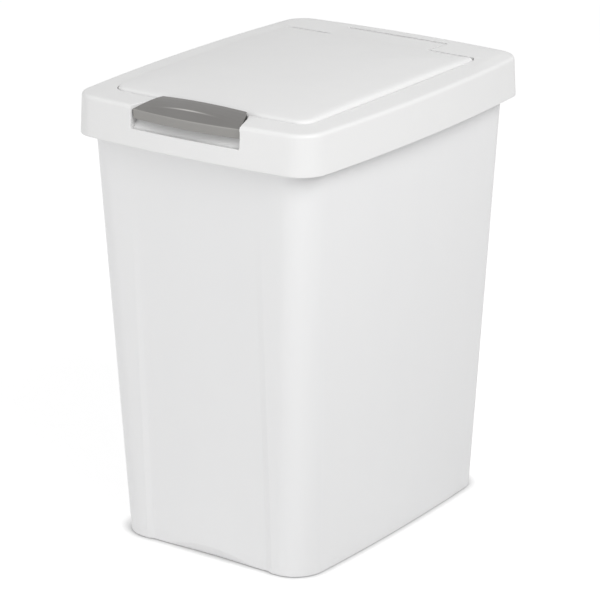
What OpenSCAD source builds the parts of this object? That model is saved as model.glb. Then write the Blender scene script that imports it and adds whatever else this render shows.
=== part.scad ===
// Push-latch bin: a tapered basket under a lid frame with a domed door and a rocking latch.
// Millimetres, +Z up, front (the latch) towards -Y, origin at the middle of the foot.

/* [Basket] */
// Width at the foot, before its sides bow out
basket_w = 210; // [202:1:230]
// Depth at the foot, front to rear
basket_d = 301; // [292:1:330]
// Height to the top of the rim
basket_h = 402.4; // [390:0.1:500]
// How far each wall leans out over the whole height
wall_lean = 17.9; // [14:0.1:22]
// Radius of the upright corners
corner_r = 28; // [24:1:32]
// How far the sides bow out at the foot
foot_bow = 5; // [0:0.5:8]
// How far the front and rear bow out
end_bow = 1.6; // [0:0.1:3]
// How far the sides bow out at the top
top_bow = 2.5; // [0:0.5:4]
// Thickness of the walls
basket_wall = 1.8; // [1.4:0.1:2.6]
// Thickness of the floor
floor_t = 2.4; // [1.8:0.1:4]
// Height of the foot that the walls stand on
foot_h = 1; // [0.6:0.1:1.6]
// How far the foot stands back from the walls
foot_inset = 1.2; // [0.6:0.1:1.6]
// Height of the lip that hangs from the rim
rim_lip_h = 9; // [6:0.5:10]
// Thickness of the rim and its lip
rim_t = 2; // [1.6:0.1:2.6]

/* [Front and rear panels] */
// Width of the recessed panel, between the feet of its steps
panel_w = 130; // [110:1:136]
// Width of the slanted step at each side of the panel
panel_step = 6.5; // [4:0.5:8]
// Depth of the panel at its lower end
panel_depth = 2.2; // [1:0.1:3]
// Height at which the panel has faded out
panel_top = 372; // [250:1:380]
// Height of the arch over the toe scoop
toe_h = 9; // [6:0.5:26]
// Width of that arch at the floor
toe_w = 106; // [80:1:110]
// Depth of the toe scoop at the foot
toe_depth = 2; // [1:0.5:6]

/* [Lid frame] */
// How far the skirt stands out from the basket's wall at its lower edge
skirt_overhang = 8.1; // [7.5:0.1:11]
// How far the skirt bows out at the sides
skirt_side_bow = 8.8; // [6:0.1:10]
// How far the skirt bows out at the front and rear
skirt_end_bow = 7.1; // [6:0.1:10]
// How far below the rim's top the skirt reaches
skirt_drop = 11.2; // [10.5:0.1:16]
// How far the frame's upper edge stands above the rim's top
frame_rise = 26.7; // [22:0.1:30]
// How far the skirt leans in from its lower edge to its top
skirt_lean = 2; // [1:0.1:3]
// Radius of the skirt's corners
skirt_r = 22; // [18:0.5:28]
// Thickness of the frame
frame_wall = 2.2; // [1.8:0.1:2.6]
// Radius of the frame's upper outer edge
frame_edge_r = 3.5; // [3:0.5:6]
// Rise of the band from the outer edge to the door
band_rise = 0.4; // [0.2:0.1:4]
// Further rise of the rear deck, up to the door's top
deck_rise = 1.8; // [1:0.1:3.4]
// Depth of the seat that the door lies in
seat_depth = 5.2; // [3:0.1:6]
// Width of the ledge under the door's edge
ledge_w = 8; // [6:0.5:11]
// Height of the collar round the throat
collar_h = 12; // [8:0.5:16]
// Thickness of the ribs that rest on the basket's rim
rib_t = 1.8; // [1.4:0.1:2.4]
// Length of those ribs, inwards from the skirt
rib_reach = 9; // [6:0.5:12]
// Distance between the ribs along each side
rib_pitch = 74; // [60:1:80]
// Distance of the front and rear ribs from the middle
end_rib_x = 82; // [76:1:92]

/* [Door] */
// Width of the door
door_w = 214; // [204:1:216]
// Depth of the door's panel, front to rear
door_d = 272.6; // [262:0.1:274]
// Distance from the skirt's straight front to the door's front edge
door_setback = 29.2; // [28.6:0.1:32]
// Radius of the door's front corners
door_front_r = 15; // [12:1:24]
// Radius of the door's rear corners
door_rear_r = 4; // [3:0.5:8]
// How far the door's edges bow out
door_bow = 1.5; // [0:0.1:2.5]
// Gap between the door's edge and the frame
door_gap = 1.2; // [1.1:0.1:1.6]
// Thickness of the door
door_wall = 2; // [1.6:0.1:2.4]
// Height of the door's edge above its ledge
door_edge_h = 7.2; // [6.4:0.1:8]
// Radius of the door's upper edge
door_edge_r = 4.4; // [3:0.1:5]
// Rise of the door's side edges from their ends to their middle
door_crown = 2.5; // [0:0.1:4]
// Rise of the dome above the door's edge
dome_h = 4.5; // [3:0.5:12]
// Clearance between the door and the ledge it rests on
rest_gap = 0.3; // [0.2:0.05:0.6]

/* [Rear hinge] */
// Width of the door's hinge tongue
tongue_w = 112; // [90:1:120]
// Distance from the door panel's rear edge to the hinge axis
hinge_reach = 26; // [25:0.5:28]
// Outer radius of the tongue's barrel
barrel_r = 7.2; // [6.6:0.1:7.6]
// Diameter of the hinge pin
hinge_pin_d = 4; // [3:0.1:4.4]
// Thickness of the knuckles that turn on the pin
knuckle_t = 4; // [3:0.5:6]
// Distance of the inner knuckles from the middle
knuckle_x = 18; // [16:1:30]
// Gap between the tongue and the trough round it
trough_gap = 1.2; // [0.8:0.1:1.8]
// Thickness of the trough's walls
trough_wall = 3; // [2.4:0.1:4]
// Half width of the window in the barrel for the spring
window_half = 13; // [12:0.5:14]

/* [Latch] */
// Width of the latch at its rear edge
latch_rear_w = 91; // [84:1:94]
// Width of the latch at its front edge
latch_front_w = 117; // [110:1:120]
// Distance that the latch's front stands out from the skirt's straight front
latch_reach = 6.4; // [4:0.1:9]
// How far the latch's front edge curves back at its ends
latch_curve = 4.5; // [2:0.5:8]
// Height of the latch's rear edge above the frame's band at the door
latch_rise = 4; // [3:0.1:6]
// Drop from the latch's rear edge to its front edge
latch_slope = 8; // [5:0.5:9]
// Distance of the crescent crease from the latch's front edge, at the middle
crease_mid = 14; // [11:0.5:16]
// Distance of that crease from the front edge, at the latch's ends
crease_end = 5; // [3:0.5:8]
// Height of the crescent crease above a straight slope
crease_h = 1.6; // [0.5:0.1:2.4]
// Height of the flange along the front
flange_h = 8.8; // [7:0.1:11]
// Thickness of the latch
latch_t = 2.2; // [1.8:0.1:2.6]
// Gap between the latch's ends and the frame
latch_gap = 1.2; // [1:0.1:1.6]
// Depth below the latch's rear edge at which its pivot lies
pivot_drop = 18; // [17:0.5:20]
// Distance from the latch's rear edge forward to its pivot, which lies under the part that holds the door
pivot_setback = 0.9; // [0.4:0.1:1.4]
// Diameter of the latch pin
latch_pin_d = 3; // [2.4:0.1:3.4]
// Distance of the latch's lugs from the middle
lug_x = 40; // [39.5:0.1:40.5]
// Thickness of the lugs
lug_t = 2.6; // [2.4:0.1:4]
// How far the latch's lugs lean forward from the pivot to the latch
lug_lean = 5.4; // [5:0.1:6]
// Radius of the lugs round the pin
lug_r = 4; // [3.4:0.1:4.4]
// Width of the lip on the door that the latch holds
catch_w = 76; // [60:1:80]
// Reach of that lip under the latch's rear edge
catch_reach = 1.8; // [1.2:0.1:2]
// Bevel that lets the lip push the latch aside as the door closes
catch_bevel = 1.4; // [0.8:0.1:1.6]

/* [Finger pocket] */
// Depth of the pocket's lower edge below the latch's flange
pocket_drop = 9.6; // [8:0.1:12]
// Height of the lip in front of the pocket's floor
pocket_lip = 0.9; // [0.4:0.1:1.4]
// Depth of the whole pocket, from the middle of the skirt's front
pocket_depth = 18.2; // [16:0.1:20]
// Depth of its floor, from the middle of the skirt's front
pocket_floor = 5.6; // [5:0.1:7]
// Rise of the slope behind the floor
pocket_rise = 15; // [12:0.5:15.5]
// Thickness of the pocket's walls
pocket_wall = 2; // [1.6:0.1:2.4]

/* [Springs] */
// Wire of the door's spring
door_wire = 1; // [0.7:0.1:1.2]
// Wire of the latch's spring
latch_wire = 0.8; // [0.6:0.1:1]
// Turns of the door's spring
door_turns = 8; // [4:1:10]
// Turns of the latch's spring
latch_turns = 6; // [4:1:9]

/* [Fits] */
// Radial clearance of a hole that turns on a pin
turn_fit = 0.06; // [0.03:0.01:0.1]
// Clearance between the basket's rim and the lid frame
rim_gap = 0.8; // [0.5:0.1:1.2]
// Clearance beside parts that slide past each other
side_gap = 1; // [0.6:0.1:1.4]

/* [Hidden] */

white_shell = [0.93, 0.93, 0.93];
white_lid = [0.90, 0.90, 0.90];
latch_grey = [0.52, 0.51, 0.50];
steel = [0.72, 0.73, 0.75];

// Points in an outline's corner, along its side and in half of its end
arc_n = 7;
side_n = 6;
end_parts = 6;
// Sections across the latch on each side of the middle, and points along a spring's turn and round its wire
latch_parts = 10;
spring_steps = 16;
wire_sides = 8;
// Depth to which joined pieces run into each other, and a length that reaches out of the part
overlap = 0.4;
far = 60;
// Smallest corner that an outline keeps when it is set in
least_r = 1;

// Levels
skirt_z = basket_h - skirt_drop;
edge_z = basket_h + frame_rise;
band_under_z = edge_z - frame_wall;
band_z = edge_z + band_rise;
seat_z = band_z - seat_depth;
door_low_z = seat_z + rest_gap;
door_edge_z = door_low_z + door_edge_h;

// Outline of the lid frame
panel_half = panel_w / 2;
panel_reach = panel_half + panel_step;
lean_at_skirt = wall_lean * skirt_z / basket_h;
frame_w = basket_w + 2 * (lean_at_skirt + skirt_overhang);
frame_d = basket_d + 2 * (lean_at_skirt + skirt_overhang);
frame_front_y = -frame_d / 2;
// The band climbs gently from the edge to its knee, and less or more from there to the door
band_knee = frame_edge_r + 9;
knee_share = 0.45;
deck_knee_share = 0.85;
// Lengths over which the band turns into the deck: ahead of the door's rear edge, and in all
deck_lead = 30;
deck_run = 40;

// Door and hinge
door_front_y = frame_front_y + door_setback;
door_rear_y = door_front_y + door_d;
door_mid_y = (door_front_y + door_rear_y) / 2;
hinge_y = door_rear_y + hinge_reach;
hinge_z = door_edge_z - barrel_r;
tongue_lap = 5;
barrel_inner = barrel_r - door_wall;
trough_x = tongue_w / 2 + trough_gap;
// Room ahead of the barrel for the knuckles' gussets as the door swings
gusset_room = 8;
trough_front_y = hinge_y - barrel_r - gusset_room;
trough_rear_y = hinge_y + barrel_r + trough_gap + 0.4;
trough_floor_z = hinge_z - barrel_r - trough_gap;

// Latch and its pivot
latch_rear_y = door_front_y - door_bow - side_gap;
latch_front_y = frame_front_y - latch_reach;
latch_end_y = latch_front_y + latch_curve;
latch_z = band_z + latch_rise;
latch_front_z = latch_z - latch_slope;
flange_lean = 0.8;
pivot_y = latch_rear_y - pivot_setback;
pivot_z = latch_z - pivot_drop;
latch_lug_mid = lug_x + lug_t / 2;
// Pitch of a spring's turns in wire diameters, and the width of the latch's coil
coil_pitch = 1.6;
latch_coil = latch_wire * coil_pitch * (latch_turns + 1);
frame_lug_mid = lug_x + lug_t * 1.5 + side_gap / 2;

// The web is the floor of the well that the latch lies in
web_top_z = seat_z - 0.6;
web_low_z = web_top_z - frame_wall;
// The latch's side walls end above the web, and tip towards it when the latch is pressed
latch_side_z = web_top_z + 2.8;

// Pocket
pocket_z = latch_front_z - flange_h - pocket_drop;
pocket_x = latch_front_w / 2 + latch_gap;
pocket_floor_y = frame_front_y - skirt_end_bow + pocket_floor;
pocket_back_y = frame_front_y - skirt_end_bow + pocket_depth;

function clamp(v, low, high) = max(low, min(high, v));

// An outline is [width, depth, front radius, rear radius, side bow, end bow, middle in y].
function inset(o, t) =
    [o[0] - 2 * t, o[1] - 2 * t, max(o[2] - t, least_r), max(o[3] - t, least_r), o[4], o[5], o[6]];

function even_stations() = [for (i = [1 - end_parts : end_parts - 1]) i / end_parts];

function panel_stations() = concat(
    [-panel_reach, -panel_half],
    [for (i = [-3 : 3]) panel_half * i / 4],
    [panel_half, panel_reach]);

function corner(x, y, r, start) =
    [for (i = [0 : arc_n]) [x + r * cos(start + 90 * i / arc_n), y + r * sin(start + 90 * i / arc_n)]];

// One closed run of points round an outline, anticlockwise from above
function outline(o, stations = undef) =
    let (
        hw = o[0] / 2,
        hd = o[1] / 2,
        rf = o[2],
        rr = o[3],
        front = is_undef(stations) ? [for (s = even_stations()) s * (hw - rf)] : stations,
        rear = is_undef(stations) ? [for (s = even_stations()) s * (hw - rr)] : stations,
        last = len(rear) - 1,
        straight = o[1] - rf - rr,
        points = concat(
            corner(hw - rf, rf - hd, rf, -90),
            [for (i = [1 : side_n - 1]) [hw, rf - hd + straight * i / side_n]],
            corner(hw - rr, hd - rr, rr, 0),
            [for (i = [0 : last]) [rear[last - i], hd]],
            corner(rr - hw, hd - rr, rr, 90),
            [for (i = [1 : side_n - 1]) [-hw, hd - rr - straight * i / side_n]],
            corner(rf - hw, rf - hd, rf, 180),
            [for (x = front) [x, -hd]]))
    [for (p = points) [
        p[0] * (1 + o[4] / hw * (1 - pow(p[1] / hd, 2))),
        o[6] + p[1] * (1 + o[5] / hd * (1 - pow(p[0] / hw, 2)))]];

function lift(points, z) = [for (p = points) [p[0], p[1], z]];

function grow(points, s, z, mid_y) = [for (p = points) [p[0] * s, mid_y + (p[1] - mid_y) * s, z]];

// Triangles between ring i and ring k, each of n points
function band_faces(i, k, n) = [for (j = [0 : n - 1], half = [0, 1])
    let (a = i * n + j, b = i * n + (j + 1) % n, c = k * n + (j + 1) % n, d = k * n + j)
    half == 0 ? [a, d, c] : [a, c, b]];

// A closed ring-shaped skin: the last ring joins the first
module ring_skin(rings) {
    n = len(rings[0]);
    count = len(rings);
    polyhedron(
        points = [for (r = rings, p = r) p],
        faces = [for (i = [0 : count - 1]) each band_faces(i, (i + 1) % count, n)]);
}

// A closed skin from a first point, through rings, to a last point
module capped_skin(first, rings, last) {
    n = len(rings[0]);
    count = len(rings);
    low = n * count;
    polyhedron(
        points = concat([for (r = rings, p = r) p], [first, last]),
        faces = concat(
            [for (j = [0 : n - 1]) [low, j, (j + 1) % n]],
            [for (i = [0 : count - 2]) each band_faces(i, i + 1, n)],
            [for (j = [0 : n - 1]) [low + 1, (count - 1) * n + (j + 1) % n, (count - 1) * n + j]]));
}

// A bar along X from x1 to x2 whose section is a list of [y, z] points
module x_bar(x1, x2, section) {
    translate([x1, 0, 0])
        rotate([90, 0, 90])
            linear_extrude(height = x2 - x1)
                polygon(section);
}

// The same bar, t thick and centred on mid, on both sides of the part
module x_bar_pair(mid, t, section) {
    for (side = [-1, 1])
        x_bar(side * mid - t / 2, side * mid + t / 2, section);
}

module x_rod(reach, y, z, r) {
    translate([-reach, y, z])
        rotate([0, 90, 0])
            cylinder(r = r, h = 2 * reach, $fn = 48);
}

function box_section(y1, z1, y2, z2) = [[y1, z1], [y2, z1], [y2, z2], [y1, z2]];

// Points on a circle about [y, z], from angle a1 to a2 in count steps
function arc(y, z, r, a1, a2, count) =
    [for (i = [0 : count]) let (a = a1 + (a2 - a1) * i / count) [y + r * cos(a), z + r * sin(a)]];

// Basket wall: its outline leans out with height, and its panels and toe scoops are pressed in
function wall_outline(z, t = 0) =
    let (s = z / basket_h, bow = foot_bow + (top_bow - foot_bow) * s)
    inset([basket_w + 2 * wall_lean * s, basket_d + 2 * wall_lean * s, corner_r, corner_r, bow, end_bow, 0], t);

function arch(x) = toe_h * max(0, 1 - pow(2 * x / toe_w, 2));

function pressed(x, z) =
    let (inside = clamp((panel_reach - abs(x)) / panel_step, 0, 1))
    inside * panel_depth * max(0, 1 - z / panel_top) + toe_depth * max(0, arch(x) - z) / toe_h;

function press_wall(points, z, along_arch) = [for (p = points)
    let (h = along_arch ? max(arch(p[0]), z) : z)
    [p[0], p[1] - sign(p[1]) * (abs(p[0]) > panel_reach + 0.01 ? 0 : pressed(p[0], h)), h]];

function wall_ring(z, t = 0, along_arch = false) =
    press_wall(outline(wall_outline(z, t), panel_stations()), z, along_arch);

function skirt_outline(z, t = 0) =
    let (back = skirt_lean * clamp((z - skirt_z) / (edge_z - skirt_z), 0, 1))
    inset([frame_w, frame_d, skirt_r, skirt_r, skirt_side_bow, skirt_end_bow, 0], back + t);

function rim_ring(z, t = 0) =
    lift(outline(skirt_outline(z, frame_wall + rim_gap + t), panel_stations()), z);

module basket() {
    // Rings lie at the foot, at the arch, just over the arch and at levels up to the panel's top
    arch_z = foot_h + 3;
    over_arch_z = toe_h + 6;
    levels = [for (i = [0 : 4]) over_arch_z + (panel_top - over_arch_z) * i / 4];
    lip_z = basket_h - rim_lip_h;
    chamfer = rim_t * 1.2;
    going_up = concat(
        [wall_ring(foot_h), wall_ring(arch_z, 0, true)],
        [for (z = levels) wall_ring(z)],
        [wall_ring(basket_h - rim_t),
         rim_ring(basket_h - rim_t * 1.3, rim_t),
         rim_ring(lip_z, rim_t),
         rim_ring(lip_z),
         rim_ring(basket_h - chamfer),
         rim_ring(basket_h, chamfer)]);
    going_down = concat(
        [wall_ring(basket_h, basket_wall * 0.6), wall_ring(basket_h - chamfer, basket_wall)],
        [for (i = [len(levels) - 1 : -1 : 0]) wall_ring(levels[i], basket_wall)],
        [wall_ring(arch_z, basket_wall, true), wall_ring(foot_h, basket_wall)]);
    foot = [for (p = wall_ring(foot_h, foot_inset)) [p[0], p[1]]];
    color(white_shell) {
        ring_skin(concat(going_up, going_down));
        linear_extrude(height = floor_t)
            polygon(foot);
    }
}

// Outline of the door, and of the seat for it in the frame
function door_outline(t = 0) =
    inset([door_w, door_d, door_front_r, door_rear_r, door_bow, door_bow, door_mid_y], t);

// The band's inner edge rises to the deck behind the door
function seat_edge() = [for (p = outline(door_outline(-door_gap)))
    [p[0], p[1], band_z + deck_rise * clamp((p[1] - door_rear_y + door_rear_r) / door_rear_r, 0, 1)]];

// How far the deck has risen at depth y, from 0 beside the door to 1 behind it
function deck_share(y) = clamp((y - door_rear_y + deck_lead) / deck_run, 0, 1);

function knee_z(y) =
    edge_z + knee_share * band_rise
    + ((deck_knee_share - knee_share) * band_rise + deck_knee_share * deck_rise) * deck_share(y);

// Rings up a rounded edge whose top is at height z, set in by t from the skirt
function edge_rings(z, r, t) = [for (a = [0 : 22.5 : 90])
    let (h = z - r * (1 - sin(a)))
    lift(outline(skirt_outline(h, t + r * (1 - cos(a)))), h)];

// Rings over the outside of the frame, from its lower edge up to the seat, set in by t
function frame_outside(t) = concat(
    [lift(outline(skirt_outline(skirt_z, t)), skirt_z)],
    edge_rings(edge_z - t, frame_edge_r, t),
    [[for (p = outline(skirt_outline(edge_z, band_knee))) [p[0], p[1], knee_z(p[1]) - t]]],
    [[for (p = seat_edge()) [p[0], p[1], p[2] - t]]]);

module frame_shell() {
    under_r = frame_edge_r - frame_wall;
    ledge_low_z = seat_z - frame_wall;
    collar_z = ledge_low_z - collar_h;
    edge_inside = edge_rings(band_under_z, under_r, frame_wall);
    ring_skin(concat(
        frame_outside(0),
        [lift(outline(door_outline(-door_gap)), seat_z),
         lift(outline(door_outline(ledge_w)), seat_z),
         lift(outline(door_outline(ledge_w)), collar_z),
         lift(outline(door_outline(ledge_w - frame_wall)), collar_z),
         lift(outline(door_outline(ledge_w - frame_wall)), ledge_low_z),
         lift(outline(door_outline(-door_gap - frame_wall)), ledge_low_z),
         lift(outline(door_outline(-door_gap - frame_wall)), band_z - frame_wall * 1.3),
         lift(outline(skirt_outline(edge_z, band_knee)), band_under_z)],
        [for (i = [len(edge_inside) - 1 : -1 : 0]) edge_inside[i]],
        [lift(outline(skirt_outline(skirt_z, frame_wall)), skirt_z)]));
}

// The space inside the frame's outer skin, halfway into its wall
module frame_core() {
    capped_skin([0, 0, skirt_z], frame_outside(frame_wall / 2), [0, door_mid_y, band_z]);
}

// The pocket's lip, floor, slope and back wall as [y, z] points, front to rear
function pocket_path() = [
    [frame_front_y - far, pocket_z + pocket_lip],
    [frame_front_y - skirt_end_bow + frame_wall, pocket_z + pocket_lip],
    [pocket_floor_y, pocket_z],
    [pocket_back_y, pocket_z + pocket_rise],
    [pocket_back_y, web_top_z]];

module pocket_liner() {
    under = [for (p = pocket_path()) [p[0] + pocket_wall * 0.7, p[1] - pocket_wall]];
    x_bar(-pocket_x - pocket_wall, pocket_x + pocket_wall,
        concat(pocket_path(), [[pocket_back_y + pocket_wall, web_top_z]], [for (i = [3 : -1 : 0]) under[i]]));
    x_bar_pair(pocket_x + pocket_wall / 2, pocket_wall,
        [[frame_front_y - far, pocket_z - 1],
         [pocket_floor_y, pocket_z - 1],
         [pocket_back_y, pocket_z + pocket_rise - 1],
         [pocket_back_y + pocket_wall, band_z + far],
         [frame_front_y - far, band_z + far]]);
}

// Half width of the latch at share s of the way from its rear edge to its front ends
function latch_half(s) = (latch_rear_w + (latch_front_w - latch_rear_w) * pow(clamp(s, 0, 1), 0.78)) / 2;

// Plan of the latch with a gap at its ends, open to the front
function latch_plan(gap) =
    let (
        shares = [for (i = [0 : 4]) i / 4],
        rear_y = door_front_y - door_gap,
        right = [for (s = shares) [latch_half(s) + gap, latch_rear_y + (latch_end_y - latch_rear_y) * s]],
        front = [latch_half(1) + gap, frame_front_y - far])
    concat(
        [[-right[0][0], rear_y], [right[0][0], rear_y]],
        right,
        [front, [-front[0], front[1]]],
        [for (i = [4 : -1 : 0]) [-right[i][0], right[i][1]]]);

// The well's walls and floor, and the frame's lugs under it
module latch_well() {
    translate([0, 0, web_low_z])
        linear_extrude(height = far)
            polygon(latch_plan(latch_gap + pocket_wall));
    x_bar(-pocket_x, pocket_x, box_section(pocket_back_y, web_low_z, door_front_y + 3, web_top_z));
    x_bar_pair(frame_lug_mid, lug_t, lug_section(web_low_z + overlap, pivot_y - lug_r, pivot_y + lug_r));
}

// A lug that is round about the latch's pivot, and spans y1 to y2 at height top
function lug_section(top, y1, y2) = concat(
    [[y2, top], [y1, top]],
    arc(pivot_y, pivot_z, lug_r, 180, 360, 12));

module hinge_trough() {
    x_bar(-trough_x - trough_wall, trough_x + trough_wall,
        box_section(
            trough_front_y - frame_wall, trough_floor_z - frame_wall,
            trough_rear_y + frame_wall, band_z + far));
}

// Ribs inside the skirt, whose lower edges rest on the basket's rim
module seat_ribs() {
    low = basket_h + rest_gap;
    height = band_under_z + 1 - low;
    side_x = frame_w / 2 - skirt_lean + skirt_side_bow - rib_reach;
    end_y = frame_d / 2 - skirt_lean + skirt_end_bow - rib_reach;
    for (side = [-1, 1]) {
        for (i = [-1.5 : 1.5])
            translate([side * side_x - rib_reach, i * rib_pitch - rib_t / 2, low])
                cube([2 * rib_reach, rib_t, height]);
        for (end = [-1, 1])
            translate([side * end_rib_x - rib_t / 2, end * end_y - rib_reach, low])
                cube([rib_t, 2 * rib_reach, height]);
    }
}

module lid_frame() {
    slot_section = box_section(pivot_y - lug_lean - lug_r, web_low_z - 1, pivot_y + lug_r + 1, seat_z + 1);
    spring_slot = box_section(pivot_y - lug_lean - lug_r, web_low_z - 1, pivot_y - 1, seat_z + 1);
    color(white_lid)
        difference() {
            union() {
                frame_shell();
                intersection() {
                    frame_core();
                    union() {
                        pocket_liner();
                        latch_well();
                        hinge_trough();
                        seat_ribs();
                    }
                }
            }
            // Opening of the pocket
            x_bar(-pocket_x, pocket_x, concat(pocket_path(), [[frame_front_y - far, web_top_z]]));
            // Opening that the latch lies in
            translate([0, 0, web_top_z])
                linear_extrude(height = far)
                    polygon(latch_plan(latch_gap));
            // Slots for the latch's lugs and its spring
            x_bar_pair(latch_lug_mid, lug_t + side_gap, slot_section);
            x_bar(-latch_coil / 2 - side_gap, latch_coil / 2 + side_gap, spring_slot);
            // Seat for the door
            translate([0, 0, seat_z])
                linear_extrude(height = far)
                    polygon(outline(door_outline(-door_gap)));
            // Trough for the hinge barrel, and the way in for the tongue
            x_bar(-trough_x, trough_x, box_section(trough_front_y, trough_floor_z, trough_rear_y, band_z + far));
            x_bar(-trough_x, trough_x, box_section(door_rear_y - 2, seat_z + 0.2, trough_front_y + 1, band_z + far));
            // Holes that hold the two pins
            x_rod(trough_x + trough_wall + 1, hinge_y, hinge_z, hinge_pin_d / 2);
            x_rod(frame_lug_mid + lug_t, pivot_y, pivot_z, latch_pin_d / 2);
        }
}

// The door's crown: how far its top has risen at depth y
function crown(y) = door_crown * max(0, 1 - pow((y - door_mid_y) / (door_d / 2), 4));

function crowned(ring) = [for (p = ring) [p[0], p[1], p[2] + crown(p[1])]];

// Rings over the door's skin, set in by t, from its lower edge to near its middle
function door_skin(t) =
    let (top = door_edge_z - t, r = door_edge_r - t)
    concat(
        [lift(outline(door_outline(t)), door_low_z)],
        [for (a = [0 : 27 : 81])
            crowned(lift(outline(door_outline(t + r * (1 - cos(a)))), top - r + r * sin(a)))],
        [for (s = [0.93, 0.82, 0.66, 0.48, 0.28])
            crowned(grow(outline(door_outline(t)), s, top + dome_h * (1 - pow(s, 2.2)), door_mid_y))]);

// The outer rings go up to the middle, and the inner rings come back down to the edge
module door_panel() {
    outside = door_skin(0);
    inside = door_skin(door_wall);
    n = len(outside[0]);
    m = len(outside);
    rings = concat(outside, [for (i = [m - 1 : -1 : 0]) inside[i]]);
    tip = 2 * m * n;
    tip_z = door_edge_z + dome_h + door_crown;
    polyhedron(
        points = concat([for (r = rings, p = r) p],
            [[0, door_mid_y, tip_z], [0, door_mid_y, tip_z - door_wall]]),
        faces = concat(
            [for (i = [0 : m - 2]) each band_faces(i, i + 1, n)],
            [for (j = [0 : n - 1]) [tip, (m - 1) * n + (j + 1) % n, (m - 1) * n + j]],
            [for (j = [0 : n - 1]) [tip + 1, m * n + j, m * n + (j + 1) % n]],
            [for (i = [m : 2 * m - 2]) each band_faces(i, i + 1, n)],
            band_faces(2 * m - 1, 0, n)));
}

// Section of the tongue: a flat web, then round the barrel to the angle low
function tongue_section(low) = concat(
    [[door_rear_y - tongue_lap, hinge_z + barrel_inner], [door_rear_y - tongue_lap, hinge_z + barrel_r]],
    arc(hinge_y, hinge_z, barrel_r, 90, low, 12),
    arc(hinge_y, hinge_z, barrel_inner, low, 90, 12));

// Section of a knuckle: a gusset under the web, then round the pin
function knuckle_section() =
    let (r = barrel_r - overlap)
    concat([[door_rear_y - 1, hinge_z + r]], arc(hinge_y, hinge_z, r, 90, -180, 24));

module door() {
    half = tongue_w / 2;
    catch_y = latch_rear_y - catch_reach;
    catch_z = min(latch_under(catch_y), latch_under(catch_y, catch_w / latch_rear_w)) - rest_gap;
    color(white_lid)
        difference() {
            union() {
                door_panel();
                x_bar_pair((half + window_half) / 2, half - window_half, tongue_section(-90));
                x_bar(-window_half - overlap, window_half + overlap, tongue_section(30));
                x_bar_pair(knuckle_x - knuckle_t / 2, knuckle_t, knuckle_section());
                x_bar_pair(half - knuckle_t / 2, knuckle_t, knuckle_section());
                // Lip that the latch's rear edge holds
                x_bar(-catch_w / 2, catch_w / 2,
                    [[catch_y, catch_z], [catch_y, door_low_z + catch_bevel],
                     [catch_y + catch_bevel, door_low_z], [door_front_y + 1, door_low_z],
                     [door_front_y + 1, catch_z]]);
            }
            x_rod(half + 1, hinge_y, hinge_z, hinge_pin_d / 2 + turn_fit);
        }
}

// Top of the latch at u, from -1 at one end to 1 at the other: rear edge, middle, crease and front edge
function latch_top(u) =
    let (
        rear = [latch_rear_y, latch_z],
        front = [latch_front_y + latch_curve * u * u, latch_front_z],
        back = crease_mid + (crease_end - crease_mid) * u * u,
        crease = front + (rear - front) * back / (rear[0] - front[0]) + [0, crease_h * (1 - u * u)],
        middle = (rear + crease) / 2 + [0, crease_h * 0.3])
    [rear, middle, crease, front];

// Underside of the latch over the point y
function latch_under(y, u = 0) = lookup(y, latch_top(u)) - latch_t;

// Sections of the latch at u: its outside, and the hollow that leaves its walls
function latch_outside(u) =
    let (top = latch_top(u), foot = top[3] + [flange_lean, -flange_h])
    concat(top, [
        foot,
        foot + [latch_t, 0],
        [pocket_back_y, latch_side_z],
        [latch_rear_y, latch_side_z]]);

function latch_hollow(u) =
    let (
        top = latch_top(u),
        foot = top[3] + [flange_lean + latch_t, -flange_h],
        low = latch_front_z - flange_h - 2)
    concat([top[0] + [2, -latch_t]], [for (i = [0 : 2]) top[i] + [0, -latch_t]], [
        top[3] + [latch_t, -latch_t],
        foot,
        [foot[0], low],
        [latch_rear_y + 2, low]]);

// A run of sections from end to end, whose ends stand in by t
module latch_body(sections, t) {
    stations = [for (i = [-latch_parts : latch_parts]) i / latch_parts];
    n = len(sections[0]);
    last = len(stations) - 1;
    share = function(y) (latch_rear_y - y) / (latch_rear_y - latch_end_y);
    middle = function(k) let (s = sections[k], x = stations[k])
        [x * (latch_half(0.5) - t), (s[0][0] + s[3][0]) / 2, latch_side_z + 1];
    polyhedron(
        points = concat(
            [for (k = [0 : last], p = sections[k]) [stations[k] * (latch_half(share(p[0])) - t), p[0], p[1]]],
            [middle(0), middle(last)]),
        faces = concat(
            [for (i = [0 : last - 1]) each band_faces(i, i + 1, n)],
            [for (j = [0 : n - 1]) [n * (last + 1), j, (j + 1) % n]],
            [for (j = [0 : n - 1]) [n * (last + 1) + 1, last * n + (j + 1) % n, last * n + j]]));
}

module latch() {
    stations = [for (i = [-latch_parts : latch_parts]) i / latch_parts];
    lug_y = pivot_y - lug_lean;
    lug_top = latch_under(lug_y, 1) + latch_t / 2;
    color(latch_grey)
        difference() {
            union() {
                difference() {
                    latch_body([for (u = stations) latch_outside(u)], 0);
                    latch_body([for (u = stations) latch_hollow(u)], latch_t);
                }
                x_bar_pair(latch_lug_mid, lug_t, lug_section(lug_top, lug_y - lug_r / 2, lug_y + lug_r / 2));
            }
            x_rod(far, pivot_y, pivot_z, latch_pin_d / 2 + turn_fit);
        }
}

module hinge_pin() {
    color(steel)
        x_rod(trough_x + trough_wall, hinge_y, hinge_z, hinge_pin_d / 2);
}

module latch_pin() {
    color(steel)
        x_rod(frame_lug_mid + lug_t / 2, pivot_y, pivot_z, latch_pin_d / 2);
}

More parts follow.
